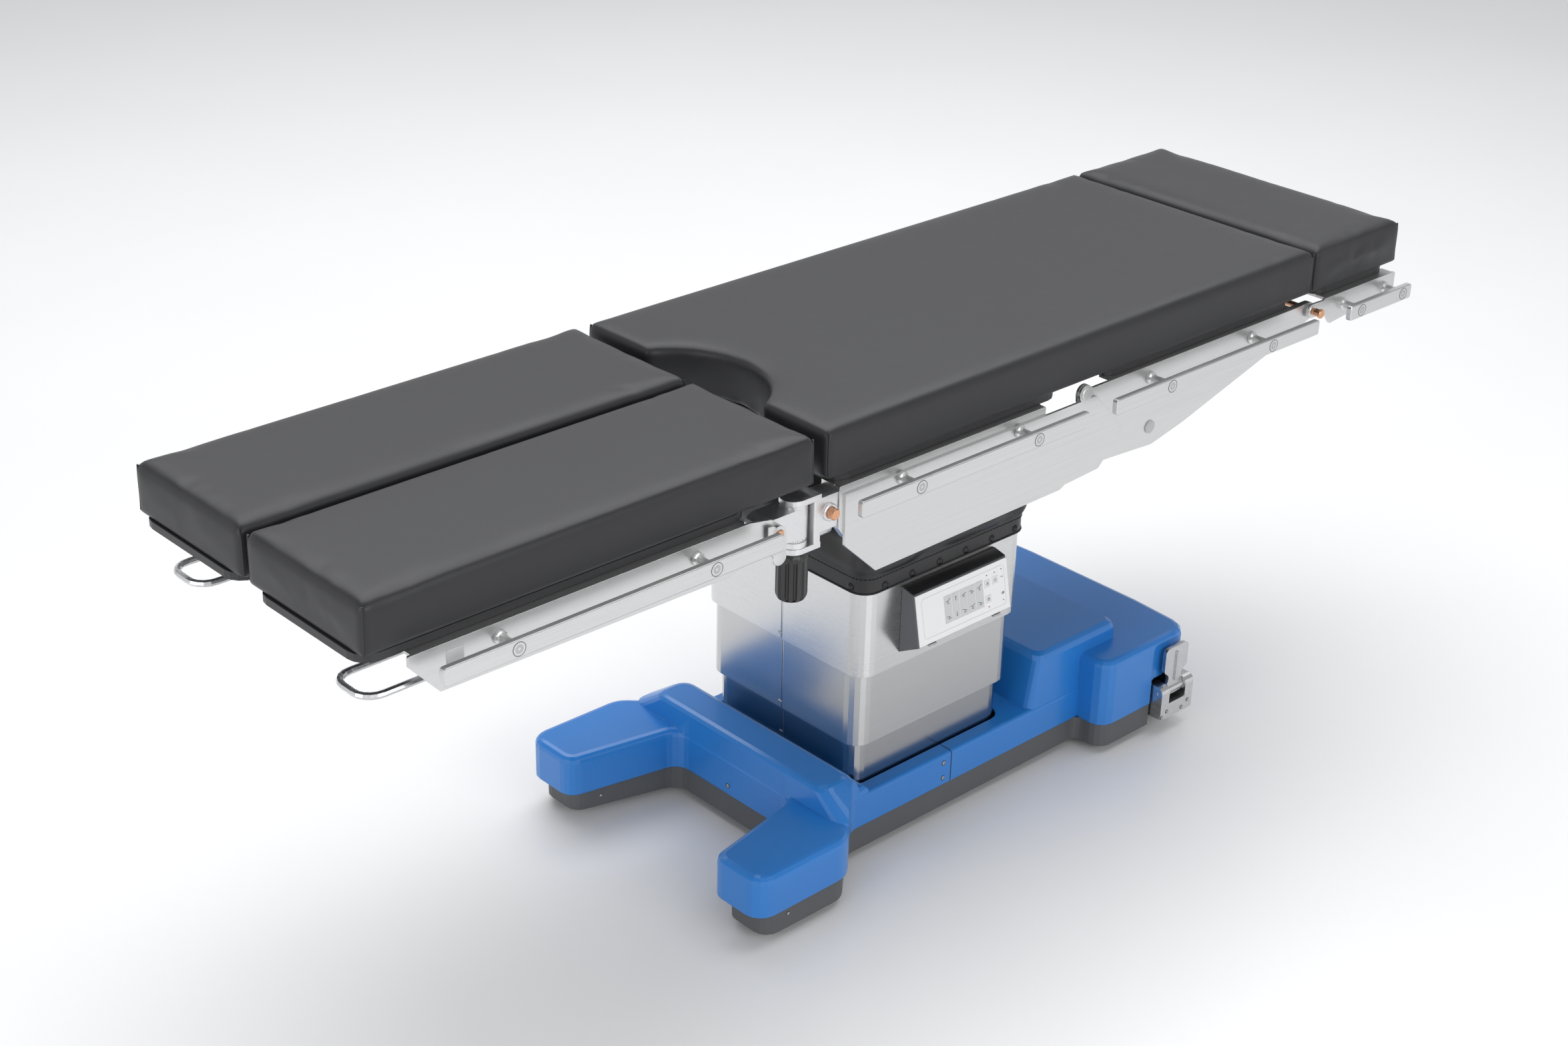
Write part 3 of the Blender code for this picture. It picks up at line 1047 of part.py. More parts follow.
    trunnion = rod((PIVOT_X, -knuckle_in - 0.002, PIVOT_Z), (PIVOT_X, -YOKE_Y + 0.0155, PIVOT_Z), pin_r, 16)
    channel = union(channel, knuckle, hook, trunnion)
    hinge_r = 0.0078
    button_bore = rod((PIVOT_X, -PLATE_OUT + 0.0020, PIVOT_Z), (PIVOT_X, -PLATE_OUT - 0.015, PIVOT_Z),
                      hinge_r + RUN, 16)
    pin_holes = rod((BAIL_X, -bail_y - 0.060, BAIL_Z), (BAIL_X, -bail_y + 0.060, BAIL_Z), 0.004 + RUN, 12)
    done(cut(channel, button_bore, pin_holes), "leg_channel", STEEL, pitch)
    done(turned([(hinge_r, 0.0), (hinge_r, 0.0060), (hinge_r - 0.0008, 0.0068)],
                (PIVOT_X, -PLATE_OUT - 0.0015, PIVOT_Z),
                (0, -1, 0), 16), "leg_hinge_button", COPPER, button_in)

    done(rail(-0.650, hook_x, (-0.539, -0.222), PLATE_OUT), "leg_rail", STEEL, pitch)
    board = [(LEG_BOARD_START, -BOARD_HALF, BOARD_CORNER), (LEG_BOARD_END, -BOARD_HALF, BOARD_CORNER),
             (LEG_BOARD_END, -LEG_BOARD_INNER, BOARD_CORNER),
             (LEG_BOARD_START, -LEG_BOARD_INNER, BOARD_CORNER)]
    done(prism(board, BOARD_BOTTOM, BOARD_TOP), "leg_board", BOARD, pitch)
    inner = -LEG_PAD_SPLIT / 2
    done(cushion(-LEG_PAD_LENGTH, -LEG_STRIP - GAP, -PAD_HALF, inner, True, False), "leg_pad", VINYL, pitch)
    done(cushion(-LEG_STRIP, 0.0, -PAD_HALF, inner, False, True), "leg_pad_edge", VINYL, pitch)

    wire = bpy.data.curves.new("bail", "CURVE")
    wire.dimensions = "3D"
    wire.bevel_depth = BAIL_R
    wire.bevel_resolution = 2
    wire.use_fill_caps = True
    spline = wire.splines.new("POLY")
    loop = [(BAIL_X, -BAIL_INNER, 0.0), (BAIL_END, -BAIL_INNER, 0.026), (BAIL_END, -BAIL_OUTER, 0.026),
            (BAIL_X, -BAIL_OUTER, 0.0)]
    route = list(reversed(fillet(list(reversed(loop)), 5)))
    spline.points.add(len(route) - 1)
    for point, (x, y) in zip(spline.points, route):
        point.co = (x, y, BAIL_Z, 1.0)
    curve = bpy.data.objects.new("bail", wire)
    bpy.context.scene.collection.objects.link(curve)
    graph = bpy.context.evaluated_depsgraph_get()
    bar_mesh = bpy.data.meshes.new_from_object(curve.evaluated_get(graph))
    bpy.data.objects.remove(curve, do_unlink=True)
    handle = bpy.data.objects.new("bail", bar_mesh)
    bpy.context.scene.collection.objects.link(handle)
    pin = rod((BAIL_X, -BAIL_OUTER - 0.0155, BAIL_Z), (BAIL_X, -BAIL_INNER + 0.0155, BAIL_Z), 0.004, 12)
    sleeve = rod((BAIL_X, -BAIL_OUTER - 0.0070, BAIL_Z), (BAIL_X, -BAIL_INNER + 0.0070, BAIL_Z), 0.007, 12)
    done(union(sleeve, pin, handle), "leg_release_bail", CHROME, bail)


build_covers()
build_chassis()
for number, (castor_x, castor_y) in enumerate(CASTORS, 1):
    build_castor(number, castor_x, castor_y)
build_brake()
build_column()
build_boot()
build_panel()
build_seat_frame()
build_back_frame()
build_rails()
build_seat_and_back_cushions()
build_head()
for leg in "RL":
    build_leg(leg)
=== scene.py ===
import math

import bmesh
import bpy
from mathutils import Matrix, Vector, noise


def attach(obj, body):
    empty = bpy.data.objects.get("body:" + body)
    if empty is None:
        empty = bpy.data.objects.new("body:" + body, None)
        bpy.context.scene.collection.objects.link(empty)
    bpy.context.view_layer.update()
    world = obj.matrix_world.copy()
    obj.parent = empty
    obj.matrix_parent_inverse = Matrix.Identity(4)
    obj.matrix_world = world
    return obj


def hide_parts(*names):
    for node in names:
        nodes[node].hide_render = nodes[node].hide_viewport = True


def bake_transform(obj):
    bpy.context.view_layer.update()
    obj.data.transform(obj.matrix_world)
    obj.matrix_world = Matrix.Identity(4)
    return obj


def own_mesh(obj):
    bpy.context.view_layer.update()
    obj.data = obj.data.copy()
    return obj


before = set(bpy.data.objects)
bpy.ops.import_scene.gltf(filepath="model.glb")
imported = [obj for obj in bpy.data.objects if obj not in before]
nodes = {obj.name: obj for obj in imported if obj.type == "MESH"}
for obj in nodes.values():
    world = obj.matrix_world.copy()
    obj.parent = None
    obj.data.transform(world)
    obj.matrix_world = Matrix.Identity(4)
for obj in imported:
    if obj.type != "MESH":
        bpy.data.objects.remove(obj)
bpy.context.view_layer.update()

# The studio: a pale sweep of floor, a large soft light overhead and two fills, and the camera at the
# photograph's place, low over the foot end on the side with the control panel.
SHIFT = 0.30325         # the joint between leg and seat cushions lies this far towards the foot end
SIDES = (("R", -1), ("L", 1))


def deselect():
    if bpy.context.object and bpy.context.object.mode != "OBJECT":
        bpy.ops.object.mode_set(mode="OBJECT")
    bpy.ops.object.select_all(action="DESELECT")


def hold(piece):
    deselect()
    piece.select_set(True)
    bpy.context.view_layer.objects.active = piece


def settle(piece):
    """Moves a piece's place, turn and size into its mesh."""
    hold(piece)
    bpy.ops.object.transform_apply(location=True, rotation=True, scale=True)


def apply_modifiers(piece):
    hold(piece)
    for modifier in list(piece.modifiers):
        bpy.ops.object.modifier_apply(modifier=modifier.name)


def wire(tree, source, target):
    tree.links.new(source, target)


def node(tree, kind, **inputs):
    """A shader node with some of its sockets set."""
    made = tree.nodes.new(kind)
    for name, value in inputs.items():
        made.inputs[name.replace("_", " ")].default_value = value
    return made


def blank_material(name):
    material = bpy.data.materials.new(name)
    material.use_nodes = True
    return material, material.node_tree, material.node_tree.nodes["Principled BSDF"]


def studio_light(name, place, target, size, power):
    data = bpy.data.lights.new(name, "AREA")
    data.shape = "RECTANGLE"
    data.size, data.size_y = size
    data.energy = power
    lamp = bpy.data.objects.new(name, data)
    bpy.context.scene.collection.objects.link(lamp)
    lamp.location = place
    lamp.rotation_euler = (Vector(target) - Vector(place)).to_track_quat("-Z", "Y").to_euler()


deselect()
bpy.ops.mesh.primitive_plane_add(size=14, location=(0, 0, 0))
sweep = bpy.context.object
sweep.name = "studio_floor"
floor_material, tree, shader = blank_material("pale_floor")
mottle = node(tree, "ShaderNodeTexNoise", Scale=1.6, Detail=3.0)
ramp = tree.nodes.new("ShaderNodeValToRGB")
ramp.color_ramp.elements[0].color = (0.86, 0.86, 0.865, 1)
ramp.color_ramp.elements[1].color = (0.90, 0.90, 0.90, 1)
where = tree.nodes.new("ShaderNodeTexCoord")
wire(tree, where.outputs["Object"], mottle.inputs["Vector"])
wire(tree, mottle.outputs["Fac"], ramp.inputs["Fac"])
wire(tree, ramp.outputs["Color"], shader.inputs["Base Color"])
shader.inputs["Roughness"].default_value = 0.28
sweep.data.materials.append(floor_material)

world = bpy.context.scene.world or bpy.data.worlds.new("studio")
bpy.context.scene.world = world
world.use_nodes = True
sky = world.node_tree.nodes["Background"]
heading = world.node_tree.nodes.new("ShaderNodeTexCoord")
upright = world.node_tree.nodes.new("ShaderNodeSeparateXYZ")
dome = world.node_tree.nodes.new("ShaderNodeValToRGB")
dome.color_ramp.elements[0].position = 0.10
dome.color_ramp.elements[0].color = (1.0, 1.0, 1.0, 1)
dome.color_ramp.elements[1].position = 0.60
dome.color_ramp.elements[1].color = (0.34, 0.35, 0.37, 1)
wire(world.node_tree, heading.outputs["Generated"], upright.inputs["Vector"])
wire(world.node_tree, upright.outputs["Z"], dome.inputs["Fac"])
wire(world.node_tree, dome.outputs["Color"], sky.inputs["Color"])
sky.inputs["Strength"].default_value = 0.85
bpy.context.scene.view_settings.view_transform = "Standard"
studio_light("overhead", (0.9, 1.2, 4.4), (0.2, 0.2, 0), (6.0, 5.0), 250)
studio_light("near_fill", (-0.4, -3.6, 1.9), (0, 0, 0.4), (3.0, 1.4), 40)
studio_light("foot_fill", (-3.6, -0.4, 1.4), (0, 0, 0.5), (1.8, 1.5), 22)

camera_data = bpy.data.cameras.new("camera")
camera = bpy.data.objects.new("camera", camera_data)
bpy.context.scene.collection.objects.link(camera)
camera_data.sensor_width = 36.0
camera_data.lens = 56.78
eye = (-2.0908 - SHIFT, -2.3985, 2.155)
yaw, pitch, roll = 0.7587, 0.4638, 0.0243
ahead = Vector((math.sin(yaw) * math.cos(pitch), math.cos(yaw) * math.cos(pitch), -math.sin(pitch)))
right = ahead.cross(Vector((0, 0, 1))).normalized()
up = right.cross(ahead)
right, up = right * math.cos(roll) + up * math.sin(roll), up * math.cos(roll) - right * math.sin(roll)
camera.matrix_world = Matrix.Translation(eye) @ Matrix((right, up, -ahead)).transposed().to_4x4()
bpy.context.scene.camera = camera


# Cushions: firm foam slabs in charcoal vinyl, sewn with an upright seam at each corner and a softly rolled
# top edge. One long cushion lies over the seat and the back, one on the head plate and one on each leg.
TOP_EDGE, UNDER_EDGE = 0.011, 0.003     # how far the edges are rolled
PAD_LOW, PAD_HIGH = 0.7155, 0.7885
PAD_SIDE = 0.2585                       # the corners' distance from the table's middle plane
FOOT_END, SEAT_FRONT, BACK_END, HEAD_END = -0.7315, 0.0162, 1.1020, 1.3380
DIAGONAL = 0.7                          # a corner points out as far along the table as across it
COVER_FRAMES = 20                       # the pressed cover is at rest after these
FLAT_RIM = 0.004                        # lowest part of a cover, drawn tight round its board


def grain_group():
    """Fine pebble grain of coated fabric: a height and a mask that follows the pebbles."""
    group = bpy.data.node_groups.new("pebble_grain", "ShaderNodeTree")
    group.interface.new_socket("Size", in_out="INPUT", socket_type="NodeSocketFloat").default_value = 900
    group.interface.new_socket("Height", in_out="OUTPUT", socket_type="NodeSocketFloat")
    group.interface.new_socket("Patches", in_out="OUTPUT", socket_type="NodeSocketFloat")
    entry = group.nodes.new("NodeGroupInput")
    leave = group.nodes.new("NodeGroupOutput")
    spot = group.nodes.new("ShaderNodeTexCoord")
    pebble = node(group, "ShaderNodeTexVoronoi", Randomness=1.0)
    pebble.feature = "SMOOTH_F1"
    wire(group, spot.outputs["Object"], pebble.inputs["Vector"])
    wire(group, entry.outputs["Size"], pebble.inputs["Scale"])
    wire(group, pebble.outputs["Distance"], leave.inputs["Height"])
    patch = node(group, "ShaderNodeTexNoise", Scale=6.0, Detail=4.0, Roughness=0.6)
    wire(group, spot.outputs["Object"], patch.inputs["Vector"])
    wire(group, patch.outputs["Fac"], leave.inputs["Patches"])
    return group


PEBBLE = grain_group()


def spread(tree, value, low, high, start=0.3, end=0.7):
    """Turns a mask into a range of plain values."""
    made = tree.nodes.new("ShaderNodeMapRange")
    for name, number in (("From Min", start), ("From Max", end), ("To Min", low), ("To Max", high)):
        made.inputs[name].default_value = number
    wire(tree, value, made.inputs["Value"])
    return made.outputs["Result"]


def tint(tree, value, dark, light):
    """Mixes two colours by a mask."""
    made = tree.nodes.new("ShaderNodeMix")
    made.data_type = "RGBA"
    made.inputs["A"].default_value = (*dark, 1)
    made.inputs["B"].default_value = (*light, 1)
    wire(tree, value, made.inputs["Factor"])
    return made.outputs["Result"]


def coated_fabric(name, dark, light, rough, size, depth, gloss=0.5):
    """Vinyl or leatherette: pebble grain, slightly uneven colour and gloss."""
    material, tree, shader = blank_material(name)
    shader.inputs["Specular IOR Level"].default_value = gloss
    grain = tree.nodes.new("ShaderNodeGroup")
    grain.node_tree = PEBBLE
    grain.inputs["Size"].default_value = size
    wire(tree, tint(tree, grain.outputs["Patches"], dark, light), shader.inputs["Base Color"])
    wire(tree, spread(tree, grain.outputs["Patches"], rough - 0.05, rough + 0.06), shader.inputs["Roughness"])
    bump = node(tree, "ShaderNodeBump", Strength=0.25, Distance=depth)
    wire(tree, grain.outputs["Height"], bump.inputs["Height"])
    wire(tree, bump.outputs["Normal"], shader.inputs["Normal"])
    return material


cushion_vinyl = coated_fabric("cushion_vinyl", (0.021, 0.021, 0.023), (0.030, 0.030, 0.032), 0.42, 1100, 0.0002,
                              0.38)


def fixed(piece, material, body):
    """Gives a piece its finish and hangs it on its body."""
    piece.data.materials.clear()
    piece.data.materials.append(material)
    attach(piece, body)


def edit(piece, edges=None, faces=None):
    """Opens a piece's mesh, with all of it selected or only the edges or faces that pass a test."""
    hold(piece)
    bpy.ops.object.mode_set(mode="EDIT")
    test = edges or faces
    bpy.ops.mesh.select_all(action="DESELECT" if test else "SELECT")
    if test:
        bm = bmesh.from_edit_mesh(piece.data)
        for part in bm.edges if edges else bm.faces:
            part.select_set(test(part))
        bmesh.update_edit_mesh(piece.data)


def close_edit():
    bpy.ops.object.mode_set(mode="OBJECT")


def cut_out(piece, cutter):
    """Takes the cutter's volume out of a piece, and then the cutter away."""
    trim = piece.modifiers.new("trim", "BOOLEAN")
    trim.operation = "DIFFERENCE"
    trim.solver = "EXACT"
    trim.object = cutter
    apply_modifiers(piece)
    bpy.data.objects.remove(cutter, do_unlink=True)


def cube(name, place, size, turn=(0, 0, 0)):
    deselect()
    bpy.ops.mesh.primitive_cube_add(size=1, location=place, rotation=turn)
    made = bpy.context.object
    made.name = name
    made.scale = size
    settle(made)
    return made


def slab(name, x0, x1, y0, y1):
    """A cushion's plain block."""
    return cube(name, ((x0 + x1) / 2 - SHIFT, (y0 + y1) / 2, (PAD_LOW + PAD_HIGH) / 2),
                (x1 - x0, y1 - y0, PAD_HIGH - PAD_LOW))


def roll_edges(piece):
    """Rounds the level edges of the top and of the underside; the corners stay square for the seams."""
    for level, width in ((PAD_HIGH, TOP_EDGE), (PAD_LOW, UNDER_EDGE)):
        edit(piece, edges=lambda edge: all(abs(v.co.z - level) < 1e-4 for v in edge.verts)
             and len(edge.link_faces) == 2 and any(abs(face.normal.z) < 0.5 for face in edge.link_faces))
        bpy.ops.mesh.bevel(offset=width, segments=4, profile=0.5, affect="EDGES")
        close_edit()


def stuff(piece, voxel, cap):
    """Fills the cover: the mesh is made even, the foam presses the cover out by less than cap, and it is
    smoothed."""
    hold(piece)
    remesh = piece.modifiers.new("even", "REMESH")
    remesh.mode = "VOXEL"
    remesh.voxel_size = voxel
    apply_modifiers(piece)
    rest = [v.co.copy() for v in piece.data.vertices]
    cover = piece.modifiers.new("cover", "CLOTH")
    cover.settings.use_pressure = True
    cover.settings.uniform_pressure_force = 4.0
    cover.settings.effector_weights.gravity = 0.0
    cover.settings.tension_stiffness = 15
    cover.point_cache.frame_end = COVER_FRAMES
    for step in range(1, COVER_FRAMES + 1):
        bpy.context.scene.frame_set(step)
    apply_modifiers(piece)
    for vertex, start in zip(piece.data.vertices, rest):
        move = vertex.co - start
        reach = move.length
        soft = cap * reach / (reach + cap) if reach else 0.0
        if start.z < PAD_LOW + FLAT_RIM:
            soft = 0.0
        vertex.co = start + move * (soft / reach if reach else 0.0)
    bpy.context.scene.frame_set(1)
    smooth = piece.modifiers.new("smooth", "SMOOTH")
    smooth.factor = 0.5
    smooth.iterations = 4
    apply_modifiers(piece)
    bpy.ops.object.shade_smooth()


def cords(name, lines, radius, closed=False, rounds=2, caps=True):
    """Beads or threads of round section, one along each line of points."""
    path = bpy.data.curves.new(name, "CURVE")
    path.dimensions = "3D"
    path.bevel_depth = radius
    path.bevel_resolution = rounds
    path.use_fill_caps = caps
    for points in lines:
        line = path.splines.new("POLY")
        line.points.add(len(points) - 1)
        for spot, place in zip(line.points, points):
            spot.co = (*place, 1)
        line.use_cyclic_u = closed
    made = bpy.data.objects.new(name, path)
    bpy.context.scene.collection.objects.link(made)
    hold(made)
    bpy.ops.object.convert(target="MESH")
    made = bpy.context.object
    made.name = name
    bpy.ops.object.shade_smooth()
    return made


def corner_seam(name, pad, x, y, out_x, out_y, body):
    """Upright seam where two side panels meet: a fine sewn ridge that follows the pad's corner."""
    near = [v.co for v in pad.data.vertices if abs(v.co.x - x + SHIFT) < 0.03 and abs(v.co.y - y) < 0.03]
    points = []
    steps = 14
    sunk = 0.0007
    for k in range(steps + 1):
        z = PAD_LOW + FLAT_RIM + (PAD_HIGH - PAD_LOW - TOP_EDGE * 0.8) * k / steps
        level = [co for co in near if abs(co.z - z) < 0.006]
        corner = max(level, key=lambda co: co.x * out_x + co.y * out_y)
        points.append((corner.x - out_x * sunk, corner.y - out_y * sunk, z))
    for _ in range(3):
        inner = [tuple((a + 2 * b + c) / 4 for a, b, c in zip(p, q, r))
                 for p, q, r in zip(points, points[1:], points[2:])]
        points = [points[0], *inner, points[-1]]
    made = cords(name, [points], 0.0015)
    fixed(made, cushion_vinyl, body)
    return made


def upholster(piece, voxel, cap):
    """Rolls a block's edges, fills it and covers it in vinyl."""
    roll_edges(piece)
    stuff(piece, voxel, cap)
    piece.data.materials.append(cushion_vinyl)


def cushion(name, x0, x1, y0, y1, voxel, cap):
    made = slab(name, x0 + cap / 2, x1 - cap / 2, y0 + cap / 2, y1 - cap / 2)
    upholster(made, voxel, cap)
    return made


long_cushion = slab("long_cushion", SEAT_FRONT, BACK_END, -PAD_SIDE, PAD_SIDE)
deselect()
bpy.ops.mesh.primitive_cylinder_add(vertices=96, radius=0.1405, depth=0.3, location=(-0.047 - SHIFT, 0, 0.75))
cut_out(long_cushion, bpy.context.object)
upholster(long_cushion, 0.006, 0.004)
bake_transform(long_cushion)
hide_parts("seat_pad", "hinge_pad", "back_pad")
for side, sign in SIDES:
    y, across = sign * PAD_SIDE, sign * DIAGONAL
    corner_seam(f"seam_seat_{side}", long_cushion, SEAT_FRONT, y, -DIAGONAL, across, "seat")
    corner_seam(f"seam_back_{side}", long_cushion, BACK_END, y, DIAGONAL, across, "back")

head_cushion = cushion("head_cushion", 1.1055, HEAD_END, -0.260, 0.260, 0.005, 0.004)
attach(head_cushion, "head")
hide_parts("head_pad", "head_pad_edge")
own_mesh(head_cushion)
for side, sign in SIDES:
    corner_seam(f"seam_head_{side}", head_cushion, 1.3365, sign * PAD_SIDE, DIAGONAL, sign * DIAGONAL, "head")

for side, sign in SIDES:
    low_y, high_y = sorted((sign * 0.003, sign * 0.260))
    leg_cushion = cushion(f"leg_cushion_{side}", FOOT_END, 0.0, low_y, high_y, 0.0055, 0.004)
    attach(leg_cushion, f"leg_{side}")
    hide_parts(f"leg_pad_{side}", f"leg_pad_edge_{side}")
    soft = [leg_cushion]
    for end, x, out in (("foot", -0.7300, -DIAGONAL), ("seat", -0.0015, DIAGONAL)):
        for edge, y, across in (("outer", PAD_SIDE, DIAGONAL), ("inner", 0.0045, -DIAGONAL)):
            soft.append(corner_seam(f"seam_leg_{side}_{end}_{edge}", leg_cushion, x, sign * y, out,
                                    sign * across, f"leg_{side}"))
    for piece in soft:
        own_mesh(piece)


# Boards under the cushions: dark X-ray clear laminate with a cut edge that shows a little lighter.
def layered_board():
    material, tree, shader = blank_material("laminate_board")
    spot = tree.nodes.new("ShaderNodeTexCoord")
    stretch = tree.nodes.new("ShaderNodeMapping")
    stretch.inputs["Scale"].default_value = (3, 3, 900)
    wire(tree, spot.outputs["Object"], stretch.inputs["Vector"])
    layers = node(tree, "ShaderNodeTexNoise", Scale=1.0, Detail=2.0)
    wire(tree, stretch.outputs["Vector"], layers.inputs["Vector"])
    wire(tree, tint(tree, layers.outputs["Fac"], (0.012, 0.012, 0.013), (0.040, 0.040, 0.042)),
         shader.inputs["Base Color"])
    wire(tree, spread(tree, layers.outputs["Fac"], 0.36, 0.5), shader.inputs["Roughness"])
    return material


def dress(material, *names):
    """Gives CAD nodes a finish."""
    for name in names:
        nodes[name].data.materials.clear()
        nodes[name].data.materials.append(material)


board_laminate = layered_board()
dress(board_laminate, "seat_board", "back_board", "head_board", "leg_board_R", "leg_board_L")


# Stainless parts: side plates, frames and rails in sheet and bar that is brushed along its length, with edges
# broken by a file and polished a little brighter.
def brush_group():
    """Long fine scratches: a mask, and the same scratches as a height."""
    group = bpy.data.node_groups.new("brush_marks", "ShaderNodeTree")
    stretched = group.interface.new_socket("Stretch", in_out="INPUT", socket_type="NodeSocketVector")
    stretched.default_value = (6, 900, 900)
    group.interface.new_socket("Marks", in_out="OUTPUT", socket_type="NodeSocketFloat")
    group.interface.new_socket("Clouds", in_out="OUTPUT", socket_type="NodeSocketFloat")
    entry = group.nodes.new("NodeGroupInput")
    leave = group.nodes.new("NodeGroupOutput")
    spot = group.nodes.new("ShaderNodeTexCoord")
    stretch = group.nodes.new("ShaderNodeMapping")
    wire(group, entry.outputs["Stretch"], stretch.inputs["Scale"])
    wire(group, spot.outputs["Object"], stretch.inputs["Vector"])
    scratch = node(group, "ShaderNodeTexNoise", Scale=1.0, Detail=5.0, Roughness=0.7)
    wire(group, stretch.outputs["Vector"], scratch.inputs["Vector"])
    wire(group, scratch.outputs["Fac"], leave.inputs["Marks"])
    cloud = node(group, "ShaderNodeTexNoise", Scale=9.0, Detail=3.0)
    wire(group, spot.outputs["Object"], cloud.inputs["Vector"])
    wire(group, cloud.outputs["Fac"], leave.inputs["Clouds"])
    return group


BRUSH = brush_group()


def soft_edge(tree, shader, height, radius, strength, distance=0.0001):
    """Bumps a surface by a height, over edges that catch the light as if rounded."""
    rounded = tree.nodes.new("ShaderNodeBevel")
    rounded.samples = 4
    rounded.inputs["Radius"].default_value = radius
    bump = node(tree, "ShaderNodeBump", Strength=strength, Distance=distance)
    wire(tree, rounded.outputs["Normal"], bump.inputs["Normal"])
    wire(tree, height, bump.inputs["Height"])
    wire(tree, bump.outputs["Normal"], shader.inputs["Normal"])


def brushed_metal(name, dark, light, rough, stretch, radius=0.0008, marks=0.04):
    """Brushed sheet or bar: fine marks in its colour, and a gloss that also varies in faint clouds."""
    material, tree, shader = blank_material(name)
    shader.inputs["Metallic"].default_value = 1.0
    brush = tree.nodes.new("ShaderNodeGroup")
    brush.node_tree = BRUSH
    brush.inputs["Stretch"].default_value = stretch
    scratched = spread(tree, brush.outputs["Marks"], 0, 1)
    wire(tree, tint(tree, scratched, dark, light), shader.inputs["Base Color"])
    blend = tree.nodes.new("ShaderNodeMath")
    blend.operation = "MULTIPLY_ADD"
    blend.inputs[1].default_value = 0.6
    wire(tree, brush.outputs["Clouds"], blend.inputs[0])
    wire(tree, brush.outputs["Marks"], blend.inputs[2])
    gloss = spread(tree, blend.outputs["Value"], rough - 0.03, rough + 0.04, 0.5, 1.1)
    wire(tree, gloss, shader.inputs["Roughness"])
    soft_edge(tree, shader, brush.outputs["Marks"], radius, marks)
    return material


stainless_long = brushed_metal("stainless_brushed_long", (0.64, 0.64, 0.64), (0.73, 0.73, 0.725), 0.33,
                               (6, 700, 1300))
dress(stainless_long, "seat_frame", "back_frame", "head_frame", "leg_channel_R", "leg_channel_L",
      "seat_rail_R", "seat_rail_L", "back_rail_R", "back_rail_L", "leg_rail_R", "leg_rail_L")


# Rail screws: a flush countersunk hexagon-socket head in each rail over each post, darker than the rail, with a
# fine dark ring where the head meets the bar.
def plain_metal(name, dark, light, rough, scale=60, radius=0.0005):
    """Metal that is turned, cast or polished: fine even clouds instead of brush marks."""
    material, tree, shader = blank_material(name)
    shader.inputs["Metallic"].default_value = 1.0
    spot = tree.nodes.new("ShaderNodeTexCoord")
    cloud = node(tree, "ShaderNodeTexNoise", Scale=scale, Detail=4.0)
    wire(tree, spot.outputs["Object"], cloud.inputs["Vector"])
    wire(tree, tint(tree, cloud.outputs["Fac"], dark, light), shader.inputs["Base Color"])
    wire(tree, spread(tree, cloud.outputs["Fac"], rough - 0.05, rough + 0.08), shader.inputs["Roughness"])
    soft_edge(tree, shader, cloud.outputs["Fac"], radius, 0.05)
    return material


screw_steel = plain_metal("screw_steel", (0.44, 0.44, 0.44), (0.56, 0.56, 0.56), 0.3)
screw_shadow = plain_metal("screw_shadow", (0.05, 0.05, 0.05), (0.09, 0.09, 0.09), 0.45)
RAIL_FACE, RAIL_MIDDLE = 0.3049, 0.683
ACROSS = (math.pi / 2, 0, 0)            # turns an upright piece to point across the table
SOCKET_TURN = (math.pi / 2, 0.3, 0)
SCREW_SIDES = 40


def prism(name, place, radius, depth, sides, turn=(0, 0, 0)):
    deselect()
    bpy.ops.mesh.primitive_cylinder_add(vertices=sides, radius=radius, depth=depth, location=place,
                                        rotation=turn)
    made = bpy.context.object
    made.name = name
    settle(made)
    return made


def socket_screw(name, x, sign, body):
    """Countersunk head, shown as a shallow dished ring with a six-sided socket."""
    def at(out):
        return x - SHIFT, sign * (RAIL_FACE + out), RAIL_MIDDLE

    head = prism(name, at(-0.0007), 0.0096, 0.002, SCREW_SIDES, ACROSS)
    edit(head, faces=lambda face: face.normal.y * sign > 0.9)
    for width, depth in ((0.0007, 0.0), (0.0003, -0.0003), (0.0048, 0.0002)):
        bpy.ops.mesh.inset(thickness=width, depth=depth)
    close_edit()
    cut_out(head, prism("key", at(0.0006), 0.0024, 0.003, 6, SOCKET_TURN))
    bpy.ops.object.shade_smooth_by_angle(angle=0.6)
    fixed(head, screw_steel, body)
    middle_x, face_y, middle_z = at(0.0002)
    angles = [math.tau * k / SCREW_SIDES for k in range(SCREW_SIDES)]
    rim = [(middle_x + 0.0097 * math.cos(a), face_y, middle_z + 0.0097 * math.sin(a)) for a in angles]
    gap = cords(f"{name}_gap", [rim], 0.00035, closed=True, rounds=1)
    floor = prism(f"{name}_socket", at(-0.0004), 0.0023, 0.0004, 6, SOCKET_TURN)
    for piece in (gap, floor):
        fixed(piece, screw_shadow, body)


for side, sign in SIDES:
    for section, body, places in (("seat", "seat", (0.154, 0.395)), ("back", "back", (0.695, 0.944)),
                                  ("head", "head", (1.180, 1.295)), ("leg", f"leg_{side}", (-0.539, -0.222))):
        for index, x in enumerate(places, 1):
            socket_screw(f"rail_screw_{section}_{side}_{index}", x, sign, body)


# Leg joints: cast and machined aluminium yokes and brackets with copper-coloured push buttons, a ring of angle
# marks on the barrel and a fluted black knob below.
cast_aluminium = plain_metal("cast_aluminium", (0.70, 0.70, 0.71), (0.80, 0.80, 0.81), 0.34, 140, 0.0012)
copper = plain_metal("copper_button", (0.66, 0.33, 0.19), (0.80, 0.44, 0.27), 0.22, 300, 0.0006)
dress(cast_aluminium, "leg_yoke_R", "leg_yoke_L", "leg_bracket_R", "leg_bracket_L")
dress(copper, "release_button_R", "release_button_L", "leg_hinge_button_R", "leg_hinge_button_L")


